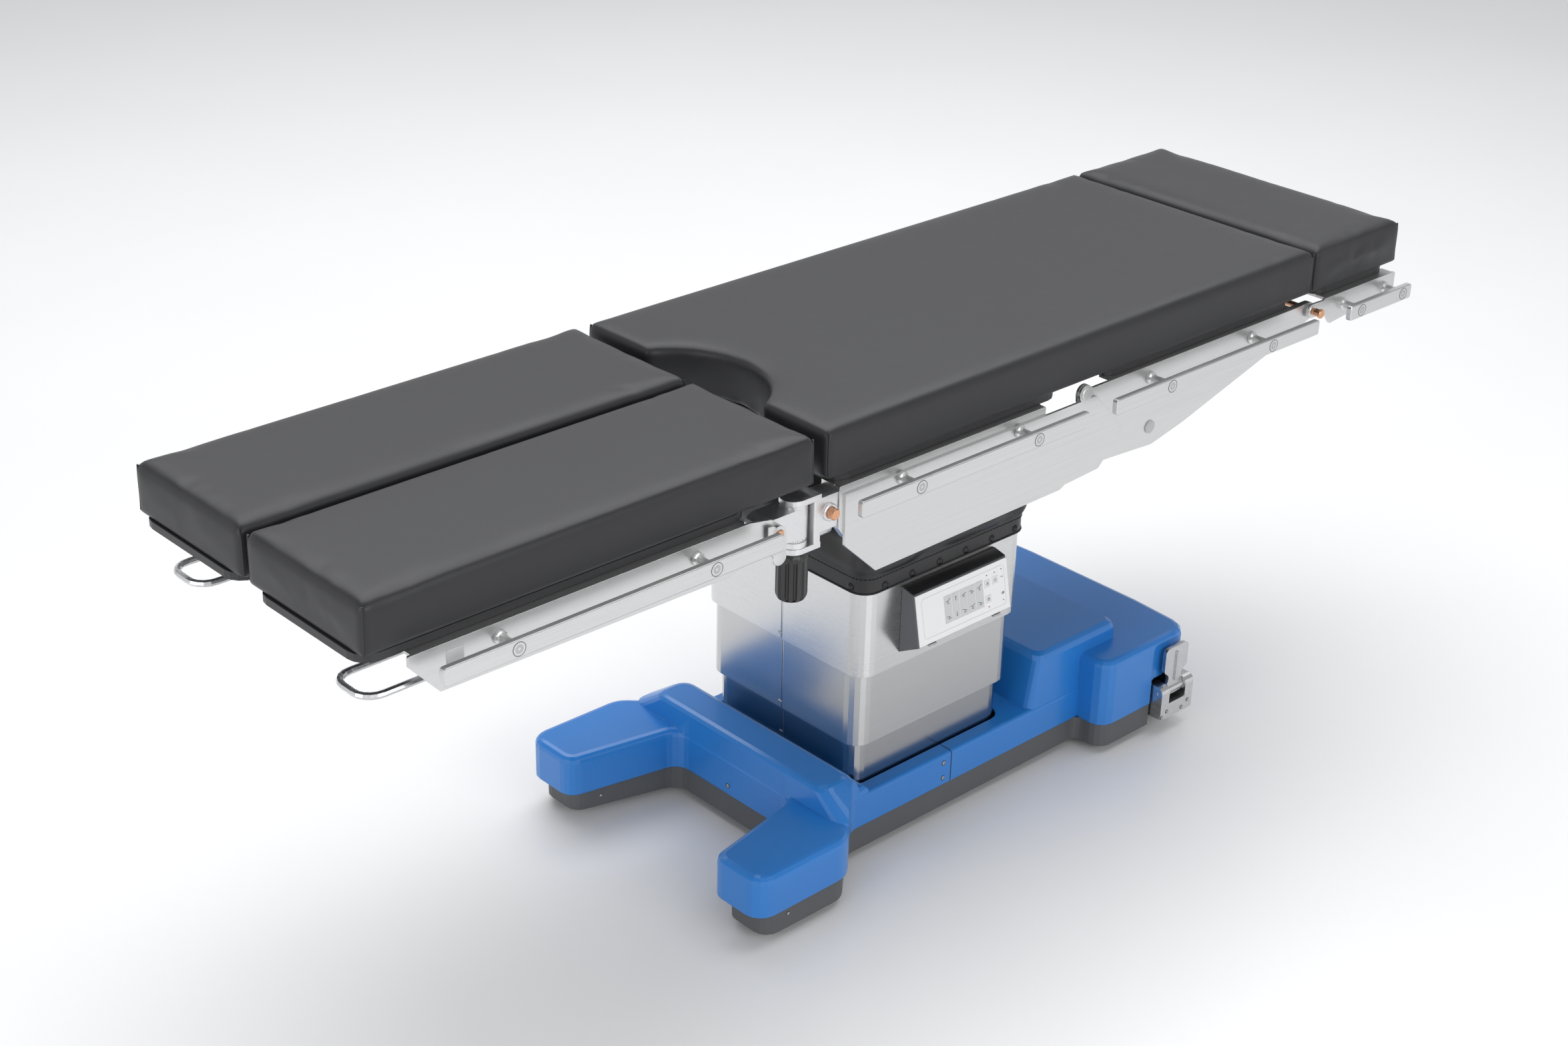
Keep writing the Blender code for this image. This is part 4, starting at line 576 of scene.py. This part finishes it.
def moulded(name, dark, light, rough, scale=220, depth=0.00008, radius=0.0008, coat=0.0):
    """Moulded or powder-coated surface: fine orange-peel bump and faintly uneven colour."""
    material, tree, shader = blank_material(name)
    spot = tree.nodes.new("ShaderNodeTexCoord")
    peel = node(tree, "ShaderNodeTexNoise", Scale=scale, Detail=3.0)
    wire(tree, spot.outputs["Object"], peel.inputs["Vector"])
    cloud = node(tree, "ShaderNodeTexNoise", Scale=5.0, Detail=3.0)
    wire(tree, spot.outputs["Object"], cloud.inputs["Vector"])
    wire(tree, tint(tree, cloud.outputs["Fac"], dark, light), shader.inputs["Base Color"])
    wire(tree, spread(tree, cloud.outputs["Fac"], rough - 0.04, rough + 0.05), shader.inputs["Roughness"])
    soft_edge(tree, shader, peel.outputs["Fac"], radius, 0.2, depth)
    shader.inputs["Coat Weight"].default_value = coat
    shader.inputs["Coat Roughness"].default_value = 0.15
    return material


knob_black = moulded("knob_black", (0.018, 0.018, 0.019), (0.030, 0.030, 0.031), 0.38, coat=0.1)
mark_grey = moulded("mark_grey", (0.16, 0.16, 0.17), (0.24, 0.24, 0.25), 0.5)
JOINT_X, JOINT_Y = -0.028 - SHIFT, 0.240        # the upright axis that a leg swings on
KNOB_TOP, KNOB_BOTTOM, KNOB_RADIUS = 0.6215, 0.5497, 0.0222
FLUTES = 12
SCALE_RADIUS = 0.0196


def rise(edge):
    return abs(edge.verts[0].co.z - edge.verts[1].co.z)


def leg_knob(side, sign):
    """Fluted knob: a turned body whose upright faces are pushed in along its flutes."""
    made = prism(f"fluted_knob_{side}", (JOINT_X, sign * JOINT_Y, (KNOB_TOP + KNOB_BOTTOM) / 2),
                 KNOB_RADIUS, KNOB_TOP - KNOB_BOTTOM, 144)
    edit(made, edges=lambda edge: rise(edge) > 0.01)
    bpy.ops.mesh.subdivide(number_cuts=15)
    edit(made, faces=lambda face: abs(face.normal.z) > 0.9)
    bpy.ops.mesh.inset(thickness=0.0035)
    close_edit()
    centre = Vector((JOINT_X, sign * JOINT_Y))
    for vertex in made.data.vertices:
        flat = Vector((vertex.co.x, vertex.co.y)) - centre
        if flat.length < KNOB_RADIUS - 0.001:
            continue
        angle = math.atan2(flat.y, flat.x)
        depth = KNOB_TOP - vertex.co.z
        flute = max(0.0, math.cos(FLUTES * angle)) ** 0.5 * 0.0031
        fade = min(1.0, max(0.0, (depth - 0.007) / 0.006))
        neck = 0.0045 * max(0.0, 1 - depth / 0.006)
        foot = 0.003 * max(0.0, 1 - (vertex.co.z - KNOB_BOTTOM) / 0.008) ** 2
        flat = flat.normalized() * (KNOB_RADIUS - flute * fade - neck - foot)
        vertex.co.x, vertex.co.y = centre.x + flat.x, centre.y + flat.y
    hold(made)
    bpy.ops.object.shade_smooth_by_angle(angle=0.7)
    fixed(made, knob_black, f"knob_{side}")
    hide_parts(f"leg_knob_{side}")


def joined(name, pieces):
    deselect()
    for piece in pieces:
        piece.select_set(True)
    bpy.context.view_layer.objects.active = pieces[0]
    bpy.ops.object.join()
    pieces[0].name = name
    pieces[0].data.name = name
    return pieces[0]


def angle_marks(side, sign):
    """Engraved ring and tick marks round the lower part of the bracket's barrel, every third one longer."""
    deselect()
    bpy.ops.mesh.primitive_torus_add(major_segments=64, minor_segments=6, major_radius=SCALE_RADIUS,
                                     minor_radius=0.00035, location=(JOINT_X, sign * JOINT_Y, 0.6400))
    pieces = [bpy.context.object]
    settle(pieces[0])
    for k in range(-12, 13):
        a = math.radians(90 * sign + k * 7.5)
        z, length = (0.6424, 0.0040) if k % 3 == 0 else (0.6416, 0.0024)
        place = (JOINT_X + SCALE_RADIUS * math.cos(a), sign * JOINT_Y + SCALE_RADIUS * math.sin(a), z)
        pieces.append(cube("tick", place, (0.0004, 0.0004, length), (0, 0, a)))
    fixed(joined(f"angle_scale_{side}", pieces), mark_grey, f"leg_swing_{side}")


for side, sign in SIDES:
    leg_knob(side, sign)
    angle_marks(side, sign)

bail_steel = plain_metal("bail_steel", (0.66, 0.66, 0.67), (0.76, 0.76, 0.77), 0.24, 90)
dress(bail_steel, "leg_release_bail_R", "leg_release_bail_L")


# Leg channels: steel sheet folded to a channel along the outer side of each leg. Its round-ended ear hangs down
# behind the rail's end, so the copper hinge button shows above the rail.
TRIM_OUTSIDE = 0.3200


def ease(piece, width):
    """Rounds a piece's edges."""
    soft = piece.modifiers.new("edge", "BEVEL")
    soft.width = width
    soft.segments = 2
    soft.limit_method = "ANGLE"
    apply_modifiers(piece)


def leg_channel(side, sign):
    made = nodes[f"leg_channel_{side}"].copy()
    made.data = made.data.copy()
    made.name = f"channel_{side}"
    bpy.context.scene.collection.objects.link(made)
    edit(made)
    bpy.ops.mesh.remove_doubles(threshold=0.00001)
    close_edit()
    for x0, x1, inner in ((-0.1250, -0.0700, 0.27155), (-0.1250, -0.1016, 0.26520)):
        place = ((x0 + x1) / 2 - SHIFT, sign * (inner + TRIM_OUTSIDE) / 2, 0.675)
        cut_out(made, cube("cutter", place, (x1 - x0, TRIM_OUTSIDE - inner, 0.046)))
    bpy.ops.object.shade_smooth_by_angle(angle=0.3)
    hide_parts(f"leg_channel_{side}")
    fixed(made, stainless_long, f"leg_{side}")
    lobe = prism(f"ear_lobe_{side}", (-0.0803 - SHIFT, sign * 0.2696, 0.6392), 0.0118, 0.0046, 48, ACROSS)
    ease(lobe, 0.0008)
    bpy.ops.object.shade_smooth_by_angle(angle=0.6)
    fixed(lobe, stainless_long, f"leg_{side}")


for side, sign in SIDES:
    leg_channel(side, sign)


# Column shrouds: three nested sheet covers in stainless steel, brushed round the column and folded at the
# corners. Each is closed by an upright seam in the middle of its foot face, with a lapped edge and two small
# rivets beside it.
ROUND_BRUSH = (9, 9, 1500)
stainless_round = brushed_metal("stainless_brushed_round", (0.64, 0.64, 0.64), (0.71, 0.71, 0.705), 0.26,
                                ROUND_BRUSH, 0.0006, 0.015)
# The middle and lower shrouds take darker copies of the upper shroud's steel: painted shade, deeper on the
# lower one.
shroud_steel_painted_shade_middle = brushed_metal("stainless_painted_shade_middle", (0.54, 0.54, 0.54), (0.60, 0.60, 0.595), 0.24,
                                 ROUND_BRUSH, 0.0006, 0.015)
shroud_steel_painted_shade_low = brushed_metal("stainless_painted_shade_low", (0.42, 0.42, 0.425), (0.48, 0.48, 0.48), 0.20,
                              ROUND_BRUSH, 0.0006, 0.015)
dress(stainless_round, "column_cover_upper", "brake_block")
dress(shroud_steel_painted_shade_middle, "column_cover_middle")
dress(shroud_steel_painted_shade_low, "column_cover_lower")
seam_shadow = moulded("seam_shadow", (0.020, 0.020, 0.022), (0.035, 0.035, 0.038), 0.6)
SEAM_Y = -0.003


def block(name, place, size, edge=0.0, turn=(0, 0, 0)):
    """Bar or plate with its edges rounded by the given radius."""
    made = cube(name, place, size, turn)
    if edge:
        ease(made, edge)
    bpy.ops.object.shade_smooth_by_angle(angle=0.6)
    return made


def button_head(name, place, axis, radius, height, sides=20):
    """Domed head of a rivet or stud: a short turned disc with its rim rolled over."""
    made = prism(name, (0, 0, 0), radius, height, sides)
    edit(made, faces=lambda face: face.normal.z > 0.9)
    bpy.ops.mesh.inset(thickness=radius * 0.25, depth=height * 0.5)
    bpy.ops.mesh.inset(thickness=radius * 0.35, depth=height * 0.3)
    close_edit()
    turned = Vector((0, 0, 1)).rotation_difference(Vector(axis)).to_matrix().to_4x4()
    made.data.transform(Matrix.Translation(place) @ turned)
    bpy.ops.object.shade_smooth_by_angle(angle=1.2)
    return made


for label, x, low, high, rivet_z, body in (("upper", 0.180, 0.3075, 0.447, 0.3166, "column_top"),
                                           ("middle", 0.184, 0.1835, 0.400, 0.1933, "column_middle"),
                                           ("lower", 0.188, 0.112, 0.300, 0.1375, "base")):
    middle, height = (low + high) / 2, high - low
    gap = block(f"shroud_gap_{label}", (x - SHIFT - 0.0001, SEAM_Y, middle), (0.0005, 0.0011, height))
    fixed(gap, seam_shadow, body)
    lap = block(f"shroud_lap_{label}", (x - SHIFT - 0.00015, SEAM_Y - 0.0013, middle),
                (0.0006, 0.0015, height), 0.0002)
    fixed(lap, stainless_round, body)
    rivets = [button_head("rivet", (x - SHIFT - 0.0003, SEAM_Y + dy, rivet_z), (-1, 0, 0), 0.0019, 0.0008)
              for dy in (0.0052, 0.0012)]
    fixed(joined(f"shroud_rivets_{label}", rivets), screw_steel, body)


# Plates' small parts: a flush pivot cap low on each back plate, and a bare square sticker on each leg channel.
sticker_film = moulded("sticker_film", (0.56, 0.56, 0.57), (0.62, 0.62, 0.63), 0.45, 700, 0.00004, 0.0002)
for side, sign in SIDES:
    cap = button_head(f"back_pivot_cap_{side}", (0.705 - SHIFT, sign * 0.2622, 0.598), (0, sign, 0), 0.0105,
                      0.0007, 48)
    fixed(cap, screw_steel, "back")
    sticker = block(f"bare_sticker_{side}", (-0.605 - SHIFT, sign * 0.2652, 0.6795), (0.026, 0.0003, 0.026))
    fixed(sticker, sticker_film, f"leg_{side}")


# Base covers: two moulded shells in satin blue with softly rounded edges. They meet in a fine joint beside the
# column, held there and on the fork's face by countersunk screws.
cover_blue = moulded("cover_blue", (0.014, 0.180, 0.57), (0.018, 0.205, 0.62), 0.34, 420, 0.00005, 0.0025,
                     coat=0.35)
dress(cover_blue, "base_cover_foot", "base_cover_head")
COVER_JOINT_X, COVER_SIDE, COVER_TOP, COVER_ROUND = 0.3802 - SHIFT, 0.1801, 0.104, 0.0060

for side, sign in SIDES:
    over = [(COVER_JOINT_X, sign * (COVER_SIDE + COVER_ROUND), z) for z in (0.0565, COVER_TOP)]
    for k in range(1, 6):
        a = math.pi / 2 * k / 5
        over.append((COVER_JOINT_X, sign * (COVER_SIDE + COVER_ROUND * math.cos(a)),
                     COVER_TOP + 0.0061 * math.sin(a)))
    over.append((COVER_JOINT_X, sign * 0.1605, 0.1101))
    fixed(cords(f"cover_joint_{side}", [over], 0.0006), seam_shadow, "base")


def plug_screw(name, place, axis, radius=0.0042):
    """Countersunk socket screw of the base: a dark ring round a bright dished head with a dark socket."""
    for part, out, share, height, sides, material in (("ring", 0.0, 1.0, 0.0006, 24, seam_shadow),
                                                      ("head", 0.0005, 0.78, 0.0006, 24, screw_steel),
                                                      ("socket", 0.0009, 0.36, 0.0004, 6, seam_shadow)):
        made = button_head(f"{name}_{part}", Vector(place) + Vector(axis) * out, axis, radius * share, height,
                           sides)
        fixed(made, material, "base")


for side, sign in SIDES:
    for index, z in enumerate((0.0946, 0.0673), 1):
        plug_screw(f"cover_screw_{side}_{index}", (0.3632 - SHIFT, sign * 0.1861, z), (0, sign, 0))
plug_screw("fork_screw", (0.0899 - SHIFT, 0.0146, 0.0700), (-1, 0, 0))


# Chassis, mast and brake linkage: welded steel in dark grey powder coat; castors with polished forks and grey
# rubber tyres; rubber brake feet.
powder_grey = moulded("powder_grey", (0.085, 0.089, 0.094), (0.105, 0.109, 0.114), 0.52, 900, 0.00012, 0.0012)
tyre_rubber = moulded("tyre_rubber", (0.035, 0.035, 0.036), (0.055, 0.055, 0.056), 0.72, 500, 0.00015, 0.0006)
dress(powder_grey, "base_chassis", "mast_inner", "tilt_cross")
dress(tyre_rubber, "brake_bar_foot", "brake_bar_head", *[f"castor_wheels_{i}" for i in range(1, 5)])
fork_steel = plain_metal("fork_steel", (0.58, 0.58, 0.59), (0.70, 0.70, 0.71), 0.24, 120)
dress(fork_steel, *[f"castor_fork_{i}" for i in range(1, 5)])
dress(copper, "head_release_rod")
for side, sign in SIDES:
    plug_screw(f"skirt_screw_{side}", (-0.0377 - SHIFT, sign * 0.2616, 0.0380), (0, sign, 0), 0.0034)
    plug_screw(f"inner_skirt_screw_{side}", (-0.0382 - SHIFT, sign * 0.1685, 0.0315),
               (-0.255, -sign * 0.967, 0), 0.0034)
for i, (x, y) in enumerate(((0.022, 0.204), (0.022, -0.204), (0.770, 0.180), (0.770, -0.180)), 1):
    for label, side in (("near", -1), ("far", 1)):
        hub = button_head(f"wheel_hub_{i}_{label}", (x + 0.014 - SHIFT, y + side * 0.0184, 0.025),
                          (0, side, 0), 0.0115, 0.0010, 28)
        fixed(hub, fork_steel, f"wheels_{i}")


# Brake pedal: a polished cast foot pad on an upright arm, hinged between the ears of a stainless block that is
# held to the chassis by socket screws. A narrow upright rib stiffens the pad.
pedal_steel = plain_metal("pedal_steel", (0.60, 0.60, 0.61), (0.72, 0.72, 0.73), 0.2, 80, 0.0015)
dress(pedal_steel, "brake_pedal")
for index, (x, z) in enumerate(((0.8245, 0.042), (0.812, 0.034), (0.863, 0.036), (0.878, 0.045)), 1):
    plug_screw(f"pedal_screw_{index}", (x - SHIFT, -0.2621, z), (0, -1, 0), 0.0036)


# Boot: a sewn sleeve of matt black leatherette between the upper shroud and the table frame. A stiff hem with a
# stitched line is held by press studs; above it the cloth gathers into slanting folds.
boot_leather = coated_fabric("boot_leather", (0.012, 0.012, 0.013), (0.020, 0.020, 0.021), 0.40, 900, 0.0003)
BOOT_X, BOOT_HALF_X, BOOT_HALF_Y = 0.355, 0.175, 0.176
BOOT_LOW, BOOT_HIGH, TILT_HEIGHT = 0.448, 0.664, 0.600
HEM_CORNER = 0.028
BOOT_LEVELS = ((BOOT_LOW, 0.0028), (0.474, 0.0028), (0.490, 0.0062), (0.520, 0.0040), (0.560, -0.016),
               (0.610, -0.044), (0.662, -0.054))        # height, and how far the sleeve stands out there


def boot_grow(z):
    """How far the sleeve stands outside the shroud at a height."""
    for (z0, g0), (z1, g1) in zip(BOOT_LEVELS, BOOT_LEVELS[1:]):
        if z <= z1:
            t = max(0.0, (z - z0) / (z1 - z0))
            t = t * t * (3 - 2 * t)
            return g0 + (g1 - g0) * t
    return BOOT_LEVELS[-1][1]


def round_the_column(s, grow, corner):
    """Point and outward direction at share s of the way round a square with rounded corners."""
    a, b = BOOT_HALF_X + grow - corner, BOOT_HALF_Y + grow - corner
    lengths = (2 * b, math.pi / 2 * corner, 2 * a, math.pi / 2 * corner) * 2
    starts = ((a + corner, -b), (a, b), (a, b + corner), (-a, b), (-a - corner, b), (-a, -b),
              (-a, -b - corner), (a, -b))
    way = (s % 1.0) * sum(lengths)
    for index, length in enumerate(lengths):
        if way <= length or index == 7:
            break
        way -= length
    quarter = index // 2
    x, y = starts[index]
    facing = math.pi / 2 * quarter
    if index % 2 == 0:
        return x - math.sin(facing) * way, y + math.cos(facing) * way, math.cos(facing), math.sin(facing)
    turn = facing + way / corner
    return x + corner * math.cos(turn), y + corner * math.sin(turn), math.cos(turn), math.sin(turn)


def fold(s, z):
    """Depth of the gathered folds, none at the hem."""
    h = min(1.0, max(0.0, (z - 0.478) / 0.15))
    if h <= 0:
        return 0.0
    angle = s * 2 * math.pi
    wander = noise.noise(Vector((math.cos(angle) * 1.6, math.sin(angle) * 1.6, z * 9)))
    wave = math.sin(angle * 7 + h * 2.6 + wander * 4.0)
    ripple = math.sin(angle * 13 - h * 3.4 + wander * 6.0)
    sharp = math.copysign(abs(wave) ** 0.7, wave)
    fine = noise.noise(Vector((math.cos(angle) * 7, math.sin(angle) * 7, z * 40)))
    gather = math.sin(math.pi * min(1.0, h * 0.9 + 0.06)) ** 0.8
    return (0.0052 * sharp + 0.0024 * ripple + 0.0012 * fine) * gather


def boot_part(name, low, high, rows, around=220):
    """One level of the sleeve: an upright tube whose rings follow the shroud's outline and the folds."""
    deselect()
    bpy.ops.mesh.primitive_cylinder_add(vertices=around, radius=0.2, depth=1, end_fill_type="NOTHING",
                                        location=(BOOT_X - SHIFT, 0, 0))
    made = bpy.context.object
    made.name = name
    settle(made)
    edit(made, edges=lambda edge: rise(edge) > 0.5)
    bpy.ops.mesh.subdivide(number_cuts=rows - 1)
    close_edit()
    for vertex in made.data.vertices:
        share = math.atan2(vertex.co.y, vertex.co.x - BOOT_X + SHIFT) / (2 * math.pi) % 1.0
        z = low + (vertex.co.z + 0.5) * (high - low)
        h = max(0.0, (z - 0.474) / 0.19)
        x, y, out_x, out_y = round_the_column(share + 0.125, boot_grow(z), HEM_CORNER + 0.034 * h)
        push = fold(share, z)
        vertex.co = (x + out_x * push + BOOT_X - SHIFT, y + out_y * push, z)
    return made


for label, low, high, rows, lower, upper in (("lower", BOOT_LOW, TILT_HEIGHT, 56, "column_top", "tilt_cross"),
                                             ("upper", TILT_HEIGHT, BOOT_HIGH, 22, "tilt_cross", "seat")):
    sleeve = boot_part(f"boot_{label}", low, high, rows)
    thick = sleeve.modifiers.new("leather", "SOLIDIFY")
    thick.thickness = 0.0020
    thick.offset = -1
    apply_modifiers(sleeve)
    edit(sleeve)
    bpy.ops.mesh.normals_make_consistent(inside=False)
    close_edit()
    bpy.ops.object.shade_smooth()
    sleeve.data.materials.append(boot_leather)
    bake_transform(sleeve)
    if label == "lower":
        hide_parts("column_boot")


def hem_point(share, z, out):
    x, y, _, _ = round_the_column(share, boot_grow(z) + out, HEM_CORNER)
    return x + BOOT_X - SHIFT, y, z


piping = cords("boot_hem", [[hem_point(k / 160, 0.4490, 0.0002) for k in range(160)]], 0.0015, closed=True)
fixed(piping, boot_leather, "column_top")
thread = moulded("boot_thread", (0.010, 0.010, 0.011), (0.022, 0.022, 0.023), 0.55, 900)
STITCHES = 210
STITCH_ARCH = ((0.14, -0.0002), (0.26, 0.0005), (0.5, 0.0007), (0.74, 0.0005), (0.86, -0.0002))
stitches = [[hem_point((k + part) / STITCHES, 0.4725, rise_out) for part, rise_out in STITCH_ARCH]
            for k in range(STITCHES)]
stitching = cords("boot_stitches", stitches, 0.00055, rounds=1, caps=False)
fixed(stitching, thread, "column_top")

stud_black = plain_metal("stud_black", (0.035, 0.035, 0.037), (0.060, 0.060, 0.063), 0.28, 200)
STUD_HEIGHT = 0.4565
studs = [((x - SHIFT, sign * 0.1790, STUD_HEIGHT), (0, sign, 0))
         for x in (0.221, 0.278, 0.336, 0.393, 0.451, 0.503) for sign in (-1, 1)]
studs += [((BOOT_X + sign * 0.1780 - SHIFT, y, STUD_HEIGHT), (sign, 0, 0))
          for y in (-0.150, -0.048, 0.048, 0.150) for sign in (-1, 1)]
caps = []
for place, axis in studs:
    caps.append(button_head("cap", place, axis, 0.0062, 0.0012, 24))
    caps.append(button_head("cap", Vector(place) + Vector(axis) * 0.0011, axis, 0.0042, 0.0012, 24))
fixed(joined("boot_studs", caps), stud_black, "column_top")


# Control panel: a dark grey moulded wedge with a black top. Its leaning front is a pale membrane with a fine
# rounded outline, five grey key strips and three keys marked with plain pictograms, and lamps.
housing_grey = moulded("housing_grey", (0.105, 0.108, 0.115), (0.125, 0.128, 0.136), 0.42, 600, 0.0001, 0.0012)
dress(housing_grey, "control_panel")
panel_white = moulded("panel_white", (0.86, 0.86, 0.865), (0.91, 0.91, 0.915), 0.30, 700, 0.00004, 0.0004)
key_grey = moulded("key_grey", (0.60, 0.61, 0.62), (0.66, 0.67, 0.68), 0.4, 700, 0.00004, 0.0003)
key_pale = moulded("key_pale", (0.74, 0.74, 0.75), (0.80, 0.80, 0.81), 0.4, 700, 0.00004, 0.0003)
print_dark = moulded("print_dark", (0.06, 0.06, 0.065), (0.10, 0.10, 0.105), 0.5)
lamp_green = moulded("lamp_green", (0.02, 0.16, 0.05), (0.03, 0.24, 0.08), 0.3)
lamp_red = moulded("lamp_red", (0.30, 0.02, 0.02), (0.42, 0.03, 0.03), 0.3)
top_black = moulded("top_black", (0.012, 0.012, 0.013), (0.020, 0.020, 0.021), 0.35, 600, 0.0001)
PANEL_X, PANEL_TOP_Y, PANEL_TOP_Z = 0.3601 - SHIFT, -0.18855, 0.43605
FACE_W, FACE_H = 0.2008, 0.0840
lean_up = Vector((0, 0.0158, 0.0825)).normalized()
lean_out = Vector((1, 0, 0)).cross(lean_up)
FACE = Matrix.Translation((PANEL_X, (-0.2165 - 0.2007) / 2, (0.3500 + 0.4325) / 2)) @ Matrix(
    (Vector((1, 0, 0)), lean_up, lean_out)).transposed().to_4x4()


def on_face(piece, material, name):
    """Sets a piece made flat at the origin on the panel's front."""
    piece.data.transform(FACE)
    fixed(piece, material, "column_top")
    piece.name = name


def spot_on_face(share_x, share_down):
    return (share_x - 0.5) * FACE_W, (0.5 - share_down) * FACE_H


def tablet(across, up, width, height, out, thick, corner):
    """Flat key with rounded corners."""
    made = block("tablet", (across, up, out), (width, height, thick))
    edit(made, edges=lambda edge: rise(edge) > thick / 2)
    bpy.ops.mesh.bevel(offset=corner, segments=5, affect="EDGES")
    close_edit()
    return made


def rounded_loop(x0, x1, y0, y1, r, z):
    corners = ((x1 - r, y1 - r, 0), (x0 + r, y1 - r, 90), (x0 + r, y0 + r, 180), (x1 - r, y0 + r, 270))
    turns = [(cx, cy, math.radians(start + 15 * k)) for cx, cy, start in corners for k in range(7)]
    return [(cx + r * math.cos(a), cy + r * math.sin(a), z) for cx, cy, a in turns]


on_face(tablet(0, 0, FACE_W - 0.003, FACE_H - 0.003, 0.0005, 0.0012, 0.004), panel_white, "panel_membrane")
x0, y1 = spot_on_face(0.065, 0.12)
x1, y0 = spot_on_face(0.955, 0.88)
on_face(cords("outline", [rounded_loop(x0, x1, y0, y1, 0.006, 0.0011)], 0.00035, closed=True, rounds=1),
        key_grey, "panel_outline")
cap_top = block("panel_top", (PANEL_X, PANEL_TOP_Y, PANEL_TOP_Z), (0.1985, 0.0225, 0.0010), 0.0003)
slope = math.atan2(0.0055, 0.0244)
cap_top.data.transform(Matrix.Translation((0, PANEL_TOP_Y, PANEL_TOP_Z)) @ Matrix.Rotation(slope, 4, "X")
                       @ Matrix.Translation((0, -PANEL_TOP_Y, -PANEL_TOP_Z)))
fixed(cap_top, top_black, "column_top")

strips = []
marks = []
BOLD, PLAIN, FINE = 0.0007, 0.0005, 0.0004      # widths of printed lines


def stroke(a, b, width):
    """One printed line between two points of the face."""
    (ax, ay), (bx, by) = a, b
    marks.append(block("stroke", ((ax + bx) / 2, (ay + by) / 2, 0.0018),
                       (math.hypot(bx - ax, by - ay) + width, width, 0.0003),
                       turn=(0, 0, math.atan2(by - ay, bx - ax))))


def sign_lines(x, y, size, *lines):
    """Pictogram of fine lines through points that are given in units of size from its middle."""
    for points in lines:
        for a, b in zip(points, points[1:]):
            stroke((x + a[0] * size, y + a[1] * size), (x + b[0] * size, y + b[1] * size), FINE)


def table_sign(x, y, lean, bend):
    """Pictogram of the table: base, column, and a top that leans or bends."""
    stroke((x - 0.0022, y - 0.0030), (x + 0.0022, y - 0.0030), PLAIN)
    stroke((x, y - 0.0030), (x, y + 0.0006), BOLD)
    half = 0.0046
    stroke((x - half, y + 0.0010 - half * lean), (x, y + 0.0010), 0.0006)
    stroke((x, y + 0.0010), (x + half, y + 0.0010 + half * (lean + bend)), 0.0006)


STRIPS = ((0.295, 0.375), (0.382, 0.457), (0.464, 0.545), (0.550, 0.630), (0.637, 0.715))
MOVES = ((0, 0.8), None, (0.35, 0), (0, -0.6), (0.15, 0.5))     # lean and bend, or the column's arrows
for (strip_left, strip_right), move in zip(STRIPS, MOVES):
    x, y = spot_on_face((strip_left + strip_right) / 2, 0.502)
    strips.append(tablet(x, y, (strip_right - strip_left) * FACE_W - 0.0004, 0.515 * FACE_H, 0.0012, 0.0010,
                         0.0012))
    for down, kind in ((0.36, 1), (0.655, -1)):
        x, y = spot_on_face((strip_left + strip_right) / 2, down)
        if move:
            table_sign(x, y, move[0] * kind, move[1] * kind)
        else:
            stroke((x, y - 0.0032), (x, y + 0.0032), BOLD)
            stroke((x - 0.0012, y + kind * 0.0018), (x, y + kind * 0.0034), PLAIN)
            stroke((x + 0.0012, y + kind * 0.0018), (x, y + kind * 0.0034), PLAIN)
on_face(joined("strips", strips), key_grey, "panel_key_strips")

LOCK_KEYS, POWER_KEY = ((0.765, 0.353), (0.765, 0.650)), (0.850, 0.346)
pads = []
for share_x, down in (*LOCK_KEYS, POWER_KEY):
    x, y = spot_on_face(share_x, down)
    pads.append(tablet(x, y, 0.0120, 0.0120, 0.0012, 0.0010, 0.0016))
on_face(joined("pads", pads), key_pale, "panel_keys")
for share_x, down in LOCK_KEYS:
    sign_lines(*spot_on_face(share_x, down), 0.0020, ((-1, -1), (1, -1), (1, 0.2), (-1, 0.2), (-1, -1)),
               ((-0.6, 0.2), (-0.6, 1), (0.6, 1.3), (0.6, 0.2)))
x, y = spot_on_face(*POWER_KEY)
arc = [math.radians(120 + 30 * k) for k in range(11)]
sign_lines(x, y, 0.0024, [(math.cos(a), math.sin(a)) for a in arc])
stroke((x, y + 0.0008), (x, y + 0.0032), FINE)
x, y = spot_on_face(0.925, 0.337)
wave = [(x + 0.0006 * k - 0.0024, y + 0.0007 * math.sin(k * math.pi / 4)) for k in range(9)]
for a, b in zip(wave, wave[1:]):
    stroke(a, b, FINE)
sign_lines(*spot_on_face(0.925, 0.650), 0.0011, ((-2, -1.3), (2, -1.3), (2, 1.3), (-2, 1.3), (-2, -1.3)),
           ((-1.2, 0), (-0.4, 0)), ((0.5, 0), (1.3, 0)), ((0.9, -0.4), (0.9, 0.4)))
on_face(joined("marks", marks), print_dark, "panel_marks")

LAMPS = ((0.765, 0.195, lamp_green), (0.850, 0.200, lamp_green), (0.925, 0.190, lamp_green),
         (0.765, 0.800, lamp_red), (0.925, 0.785, lamp_green))
for index, (share_x, down, glow) in enumerate(LAMPS, 1):
    x, y = spot_on_face(share_x, down)
    on_face(button_head("lamp", (x, y, 0.0012), (0, 0, 1), 0.0010, 0.0006, 16), glow, f"panel_lamp_{index}")
for index, x in enumerate((0.290, 0.430), 1):
    clip = block(f"panel_clip_{index}", (x - SHIFT, -0.2140, 0.3478), (0.016, 0.0070, 0.0036), 0.0014)
    fixed(clip, screw_steel, "column_top")
